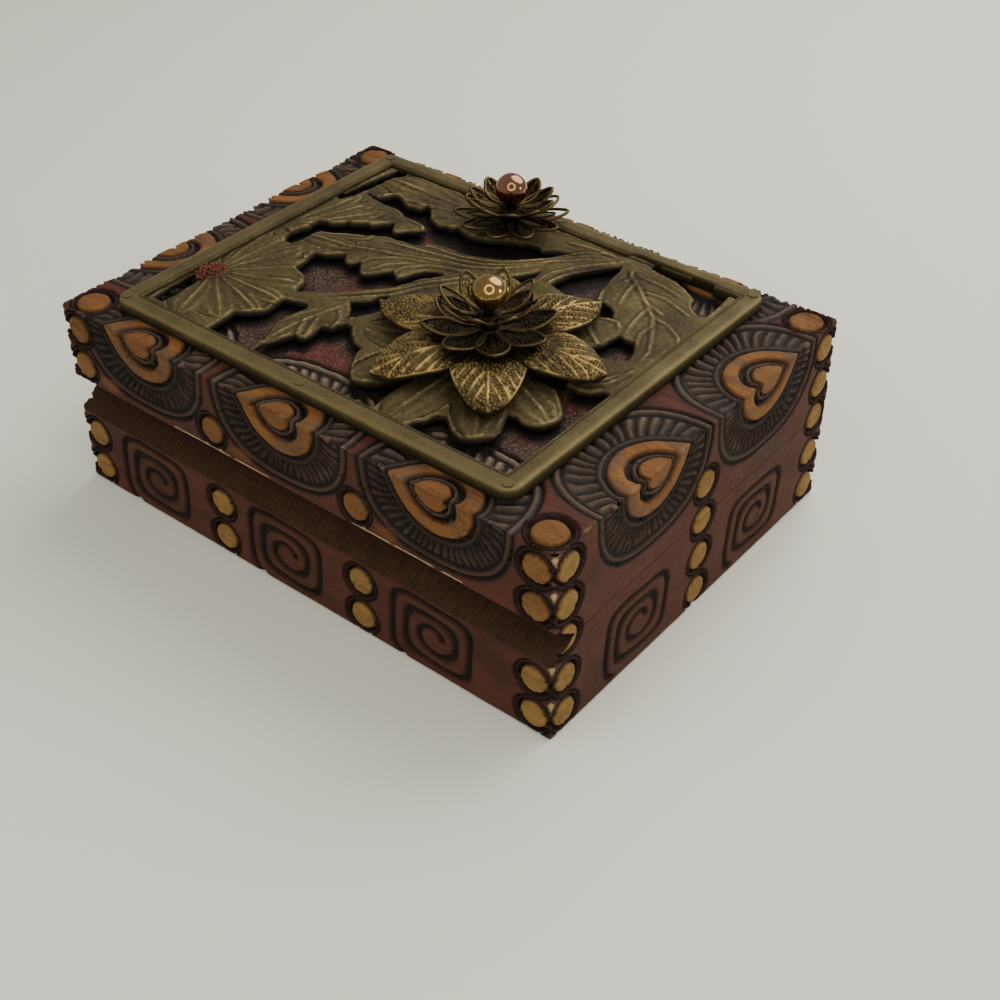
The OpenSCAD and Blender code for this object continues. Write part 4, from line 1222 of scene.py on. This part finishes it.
def petal_surface(s, t, seed):
    """Reach, offset across and height of a veined petal, at shares s along and t across, and its veins."""
    full = 1 + 7.4 * np.sin(np.radians(176 * np.clip(s, 0, 1) ** 0.9 + 4)) ** 0.62
    reach = PETAL_START + PETAL_LENGTH * s * (1 - 0.05 * t * t)
    half = np.minimum(full, reach * math.tan(math.pi / 6) - 0.3)
    across = t * half * (1 + 0.03 * np.sin(9 * s + seed))
    lift = 2.4 * np.sin(np.radians(165 * s)) - 1.0 * s * t * t + 0.23
    veins = 0.42 * np.exp(-(across / 0.42) ** 2) * (1 - 0.4 * s)
    for k, start in enumerate((0.0, 0.10, 0.27, 0.46, 0.64)):
        run = np.clip(s - start, 0, 1) * PETAL_LENGTH
        line = run * (0.66 - 0.05 * k) * (1 - 0.012 * run) + 0.3
        drawn = smooth((s - start) / 0.05) * smooth((1.02 - np.abs(t)) / 0.2)
        veins = np.maximum(veins, 0.36 * drawn * np.exp(-((np.abs(across) - line) / 0.33) ** 2))
    return reach, across, lift, veins


def turned(reach, across, z, direction, centre):
    """Points of a petal carried to its place in the ring."""
    a = math.radians(direction)
    return np.stack([centre[0] + reach * math.cos(a) - across * math.sin(a),
                     centre[1] + reach * math.sin(a) + across * math.cos(a), z], -1)


def veined_petal(direction, seed):
    """One of the large flower's petals, and the patch of it where its granules stand."""
    s, t = np.meshgrid(np.linspace(0, 1, 86), np.linspace(-1, 1, 56), indexing="ij")
    reach, across, lift, veins = petal_surface(s, t, seed)
    pits = rough(reach, across + 50 * seed, 1.6, 100 + seed)
    edge = 0.22 * band(np.abs(t), 0.93, 1.0, 0.05)
    z = PETAL_LEVEL + 0.7 + lift + veins + 0.28 * (pits - 0.5) + edge
    gold = band(s, 0.42, 1.1, 0.3) * smooth((rough(reach, across, 5.0, 110 + seed) - 0.25) * 3)
    relief = np.clip(0.10 + 0.32 * pits + 0.8 * veins + 0.8 * edge + 0.34 * gold, 0, 0.74)
    top = turned(reach, across, z, direction, LARGE)
    petal = sheet_from_grid("petal", top, 0.8, relief)
    s, t = np.meshgrid(np.linspace(0.36, 0.96, 30), np.linspace(-0.90, 0.90, 30), indexing="ij")
    reach, across, lift, veins = petal_surface(s, t, seed)
    spot = turned(reach, across, PETAL_LEVEL + 0.60 + lift, direction, LARGE)
    bare = (veins[:-1, :-1] > 0.16) | (noise(reach, across, 4.0, 120 + seed)[:-1, :-1] < 0.22)
    return petal, patch_mesh(spot, ~bare)


def geometry_group(name, inputs):
    """A Geometry Nodes group with named inputs, each with its kind and its value to begin with."""
    tree = bpy.data.node_groups.new(name, "GeometryNodeTree")
    for label, (kind, value) in inputs.items():
        socket = tree.interface.new_socket(label, in_out="INPUT", socket_type="NodeSocket" + kind)
        if value is not None:
            socket.default_value = value
    tree.interface.new_socket("Geometry", in_out="OUTPUT", socket_type="NodeSocketGeometry")
    return Tree(tree), tree.nodes.new("NodeGroupInput").outputs


def random_value(build, low, high, seed=0):
    """A random number between low and high for each point."""
    made = build.node("FunctionNodeRandomValue", {"Seed": seed}, data_type="FLOAT")
    limits = {socket.name: socket for socket in made.inputs if socket.type == "VALUE"}
    build.fill(limits, {"Min": low, "Max": high})
    return [socket for socket in made.outputs if socket.type == "VALUE"][0]


def end_copies(build, points, instance, finish, **turn_or_size):
    """Puts a copy on each point, makes them real, gives them their finish and ends the tree."""
    inputs = {"Points": points, "Instance": instance, **turn_or_size}
    copies = build.node("GeometryNodeInstanceOnPoints", inputs)
    real = build.node("GeometryNodeRealizeInstances", {0: copies.outputs[0]})
    done = build.node("GeometryNodeSetMaterial", {"Geometry": real.outputs[0], "Material": finish})
    build.node("NodeGroupOutput", {0: done.outputs[0]})
    return build.tree


def granule_tree():
    """Geometry Nodes: small balls scattered over a surface, at least their spacing apart."""
    build, given = geometry_group("Granules", {
        "Surface": ("Object", None), "Spacing": ("Float", 0.001), "Smallest": ("Float", 0.0003),
        "Largest": ("Float", 0.0005), "Seed": ("Int", 1), "Finish": ("Material", None)})
    surface = build.node("GeometryNodeObjectInfo", {"Object": given["Surface"]})
    scatter = build.node("GeometryNodeDistributePointsOnFaces", {
        "Mesh": surface.outputs["Geometry"], "Distance Min": given["Spacing"], "Density Max": 4e6,
        "Seed": given["Seed"]}, distribute_method="POISSON")
    ball = build.node("GeometryNodeMeshIcoSphere", {"Radius": 1.0, "Subdivisions": 2})
    smooth_ball = build.node("GeometryNodeSetShadeSmooth", {0: ball.outputs[0]})
    size = random_value(build, given["Smallest"], given["Largest"])
    return end_copies(build, scatter.outputs["Points"], smooth_ball.outputs[0], given["Finish"], Scale=size)


def ring_tree():
    """Geometry Nodes: copies of a petal in a ring, each turned to face outwards."""
    build, given = geometry_group("Ring of petals", {
        "Petal": ("Object", None), "Count": ("Int", 8), "First angle": ("Float", 0.0),
        "Sway": ("Float", 0.05), "Finish": ("Material", None)})
    petal = build.node("GeometryNodeObjectInfo", {"Object": given["Petal"]})
    spots = build.node("GeometryNodePoints", {"Count": given["Count"]})
    order = build.node("GeometryNodeInputIndex").outputs[0]
    share = build.math("DIVIDE", build.times(order, math.tau), given["Count"])
    sway = build.times(random_value(build, -1.0, 1.0, 5), given["Sway"])
    turn = build.plus(build.plus(share, given["First angle"]), sway)
    spin = build.node("ShaderNodeCombineXYZ", {2: turn})
    return end_copies(build, spots.outputs[0], petal.outputs["Geometry"], given["Finish"],
                      Rotation=spin.outputs[0])


RING = ring_tree()
GRANULES = granule_tree()


def from_nodes(tree, values):
    """The plain mesh that a Geometry Nodes tree gives for these inputs."""
    holder = in_scene("holder", bpy.data.meshes.new("holder"))
    modifier = holder.modifiers.new("made", "NODES")
    modifier.node_group = tree
    identifiers = {item.name: item.identifier for item in tree.interface.items_tree
                   if item.item_type == "SOCKET" and item.in_out == "INPUT"}
    for label, value in values.items():
        modifier[identifiers[label]] = value
    mesh = evaluated(holder)
    bpy.data.objects.remove(holder)
    return mesh


def granules(patch, spacing, sizes, seed, relief):
    """Balls standing on a patch, which is used up."""
    ground = in_scene("ground", patch)
    mesh = from_nodes(GRANULES, {"Surface": ground, "Spacing": spacing * MM, "Smallest": sizes[0] * MM,
                                 "Largest": sizes[1] * MM, "Seed": seed, "Finish": petal_metal})
    bpy.data.objects.remove(ground)
    bpy.data.meshes.remove(patch)
    tint_relief(mesh, relief)
    return mesh


def lathe(profile, centre, relief, sides=32):
    """A turned form about an upright axis, closed at both ends."""
    points = [(centre[0] + r * math.cos(a), centre[1] + r * math.sin(a), z)
              for r, z in profile for a in np.arange(sides) / sides * 2 * np.pi]
    return metal_mesh("lathe", points, tube_faces(len(profile), sides), relief, 0.7)


def wire_tube(path, radius, relief, sides=8):
    """A round wire along a path of points."""
    points = []
    for i, place in enumerate(path):
        d = path[min(i + 1, len(path) - 1)] - path[max(i - 1, 0)]
        d = d / np.linalg.norm(d)
        side = np.cross(d, (0, 0, 1.0))
        side = side / max(np.linalg.norm(side), 1e-6)
        up = np.cross(side, d)
        for k in range(sides):
            a = 2 * math.pi * k / sides
            points.append(place + radius * (side * math.cos(a) + up * math.sin(a)))
    return metal_mesh("wire", points, tube_faces(len(path), sides), relief, 1.2)


def petal_width(u, half):
    """Half width of a pointed petal at a share of its length."""
    return 0.4 + half * np.sin(np.pi * u ** 1.15) ** 0.8


def petal_outline(reach, half, rise, share=1.0):
    """Path of the wire round a pointed petal, drawn in to a share of its width."""
    t = np.linspace(0, 1, 49)
    u = np.where(t < 0.5, 2 * t, 2 - 2 * t)
    side = np.where(t < 0.5, 1, -1)
    width = np.where(u > 0.995, 0.0, share * petal_width(np.clip(u, 0, 1), half))
    along = u * (0.45 + 0.55 * share)
    reached = OUTLINED_START + (reach - OUTLINED_START) * along
    return np.stack([reached, side * width, rise * along * along], -1)


def outlined_petal(reach, half, rise, filled):
    """A pointed petal edged with wire, its root at the origin: a granulated leaf, or two open wires."""
    parts = [wire_tube(petal_outline(reach, half, rise), 0.42, 0.66)]
    if filled:
        s, w = np.meshgrid(np.linspace(0.08, 0.97, 30), np.linspace(-0.95, 0.95, 14), indexing="ij")
        across = w * petal_width(s, half)
        midrib = np.exp(-(across / 0.3) ** 2)
        bumps = rough(s * 14, w * 6, 1.2, 131)
        z = rise * s * s - 0.1 + 0.25 * bumps - 0.30 * (1 - w * w) + 0.28 * midrib
        grid = np.stack([OUTLINED_START + (reach - OUTLINED_START) * s, across, z], -1)
        parts.append(sheet_from_grid("fill", grid, 0.25, np.clip(0.12 + 0.35 * bumps + 0.4 * midrib, 0, 1)))
        patch = patch_mesh(grid[10:28, 1:13] + np.array((0, 0, 0.02)))
        parts.append(granules(patch, 0.75, (0.22, 0.38), 3, 0.45))
    else:
        inner = petal_outline(reach, half, rise, 0.5) + np.array((0.3, 0, 0.1))
        parts.append(wire_tube(inner, 0.22, 0.5))
    return merged("outlined_petal", parts)


def moved(mesh, centre, level):
    """Carries a mesh from the origin to a flower's centre."""
    points = (mesh_points(mesh) + (centre[0], centre[1], level)) * MM
    mesh.vertices.foreach_set("co", points.astype(np.float32).ravel())
    mesh.update()


def filigree(name, node, centre, count, reach, half, rise, first, filled):
    """A ring of outlined petals round its hub."""
    level = node_box(node)[0][2] + 0.6
    petal = in_scene("petal", outlined_petal(reach, reach * half, reach * rise, filled))
    ring = from_nodes(RING, {"Petal": petal, "Count": count, "First angle": math.radians(first),
                             "Sway": 0.05, "Finish": wire_metal})
    bpy.data.objects.remove(petal)
    moved(ring, centre, level)
    hub = lathe([(1.3, level - 0.6), (3.0, level - 0.6), (3.1, level), (2.6, level + 0.5),
                 (1.3, level + 0.6)], centre, 0.3)
    add_object(name, merged(name, [ring, hub]), wire_metal, "lid", node)


def bead(name, node, centre, material):
    """A polished bead, with a small flat at each pole."""
    low, high = node_box(node)
    radius = (high[0] - low[0]) / 2
    middle = high[2] - radius
    profile = [(0.9, middle - radius * 0.97)]
    for a in np.radians(np.linspace(-76, 80, 40)):
        profile.append((radius * math.cos(a), middle + radius * math.sin(a)))
    profile.append((0.5, middle + radius * 0.985))
    add_object(name, lathe(profile, centre, 0.5, sides=64), material, "lid", node)


def copper_heart():
    """Granulated copper at the heart of the left blossom."""
    centre, half_width, half_length = (-54.2, -25.0), 3.4, 4.8
    s, a = np.meshgrid(np.linspace(0.05, 1, 12), np.linspace(0, 2 * math.pi, 41), indexing="ij")
    x = centre[0] + half_width * s * np.cos(a)
    y = centre[1] + half_length * s * np.sin(a)
    z = SHEET_TOP + 0.55 + 0.35 * (1 - s * s)
    grains = granules(patch_mesh(np.stack([x, y, z], -1)), 0.62, (0.30, 0.50), 7, 0.5)
    add_object("copper_heart", merged("copper_heart", [grains]), copper_grains, "lid")


def veined_petals():
    """The large flower's six veined petals with their granules, and the disc that joins them."""
    meshes = []
    for k in range(6):
        petal, patch = veined_petal(8 + 60 * k, k)
        meshes += [petal, granules(patch, 0.75, (0.32, 0.60), k + 1, 0.60)]
    meshes.append(lathe([(1.3, PETAL_LEVEL), (6.0, PETAL_LEVEL), (6.2, PETAL_LEVEL + 0.9),
                         (1.3, PETAL_LEVEL + 1.2)], LARGE, 0.3))
    add_object("veined_petals", merged("veined_petals", meshes), petal_metal, "lid",
               "large_flower_petals")


def flowers():
    """Both flowers, layer by layer, and the heart of the left blossom."""
    veined_petals()
    filigree("large_star", "large_flower_star", LARGE, 8, 15.5, 0.21, 0.15, 0, True)
    filigree("large_cup", "large_flower_cup", LARGE, 8, 11.5, 0.20, 0.45, 22, False)
    filigree("small_star", "small_flower_star", SMALL, 10, 14.5, 0.16, 0.10, 0, False)
    filigree("small_cup", "small_flower_cup", SMALL, 10, 11.0, 0.20, 0.32, 18, True)
    bead("large_bead", "large_flower_bead", LARGE, bead_metal)
    bead("small_bead", "small_flower_bead", SMALL, copper_bead)
    copper_heart()


# ---- Camera, light and floor, in metres ----

LENS = 55.26
CAMERA_PLACE = (0.20702, -0.23714, 0.24543)
CAMERA_TILT = 38.616
CAMERA_TURN = 38.807

LAMP_TINT = (1.0, 0.98, 0.94)
# Round lamps: place, width and power
LAMPS = {"key": ((0.06, 0.44, 0.52), 0.70, 4.2),
         "side": ((0.55, 0.25, 0.22), 0.14, 0.4),
         "fill": ((-0.35, -0.45, 0.45), 0.5, 0.6)}
SKY = (0.92, 0.93, 0.90, 1)
SKY_STRENGTH = 0.43
FLOOR_HALF = 3000


def camera():
    """The photograph's viewpoint, solved from the box's corners."""
    data = bpy.data.cameras.new("camera")
    data.sensor_width = 36
    data.lens = LENS
    data.clip_start, data.clip_end = 0.01, 10
    cam = in_scene("camera", data)
    cam.location = CAMERA_PLACE
    cam.rotation_euler = (math.radians(90 - CAMERA_TILT), 0, math.radians(CAMERA_TURN))
    bpy.context.scene.camera = cam


def area_light(name, place, width, power):
    """A soft round lamp turned towards the box."""
    data = bpy.data.lights.new(name, "AREA")
    data.shape = "DISK"
    data.size = width
    data.energy = power
    data.color = LAMP_TINT
    lamp = in_scene(name, data)
    lamp.location = place
    lamp.rotation_euler = (Vector((0, 0, 0.03)) - Vector(place)).to_track_quat("-Z", "Y").to_euler()
    lamp.visible_glossy = name != "fill"


def staged(name, mesh, material):
    """A thing of the studio, which is no part of the box."""
    mesh.materials.append(material)
    obj = in_scene(name, mesh)
    return obj


def ring_light(inner, outer, strength, sides=48, rise=0.12):
    """A ring lamp a little above the lens, unseen by the camera itself."""
    cam = bpy.context.scene.camera
    view = cam.rotation_euler.to_matrix()
    points = []
    for radius in (inner, outer):
        for k in range(sides):
            a = 2 * math.pi * k / sides
            place = Vector((radius * math.cos(a), rise + radius * math.sin(a), 0))
            points.append((cam.location + view @ place) / MM)
    faces = [(k, (k + 1) % sides, (k + 1) % sides + sides, k + sides) for k in range(sides)]
    glow = even_material("Lamp", {"Base Color": (0, 0, 0, 1), "Emission Color": (1.0, 0.98, 0.95, 1),
                                  "Emission Strength": strength})
    staged("ring_lamp", make_mesh("ring_lamp", points, faces), glow).visible_camera = False


def studio():
    """Pale surroundings, the lamps and the paper floor."""
    world = bpy.data.worlds.new("studio")
    bpy.context.scene.world = world
    world.use_nodes = True
    sky = world.node_tree.nodes["Background"]
    sky.inputs["Color"].default_value = SKY
    sky.inputs["Strength"].default_value = SKY_STRENGTH
    for name, lamp in LAMPS.items():
        area_light(name, *lamp)
    ring_light(0.15, 0.20, 5.0)
    paper = even_material("Paper floor", {"Base Color": colour(236, 236, 219), "Roughness": 0.9})
    corners = [(x * FLOOR_HALF, y * FLOOR_HALF, 0) for x, y in ((-1, -1), (1, -1), (1, 1), (-1, 1))]
    staged("floor", make_mesh("floor", corners, [(0, 1, 2, 3)]), paper)


# ---- Build ----

def dress(name, material):
    """Gives a CAD node that is shown as it is its finish."""
    materials = nodes[name].data.materials
    materials.clear()
    materials.append(material)


for facing in WALLS:
    wall_board("base", facing)
    wall_board("lid", facing)
top_board()
leaf_sheet()
rim()
flowers()

dress("base_floor", plain_wood)
dress("overlay_pins", pin_metal)
dress("large_flower_rivet", petal_metal)
dress("small_flower_rivet", petal_metal)
for name in nodes:
    if "hinge" in name:
        dress(name, hinge_brass)

camera()
studio()
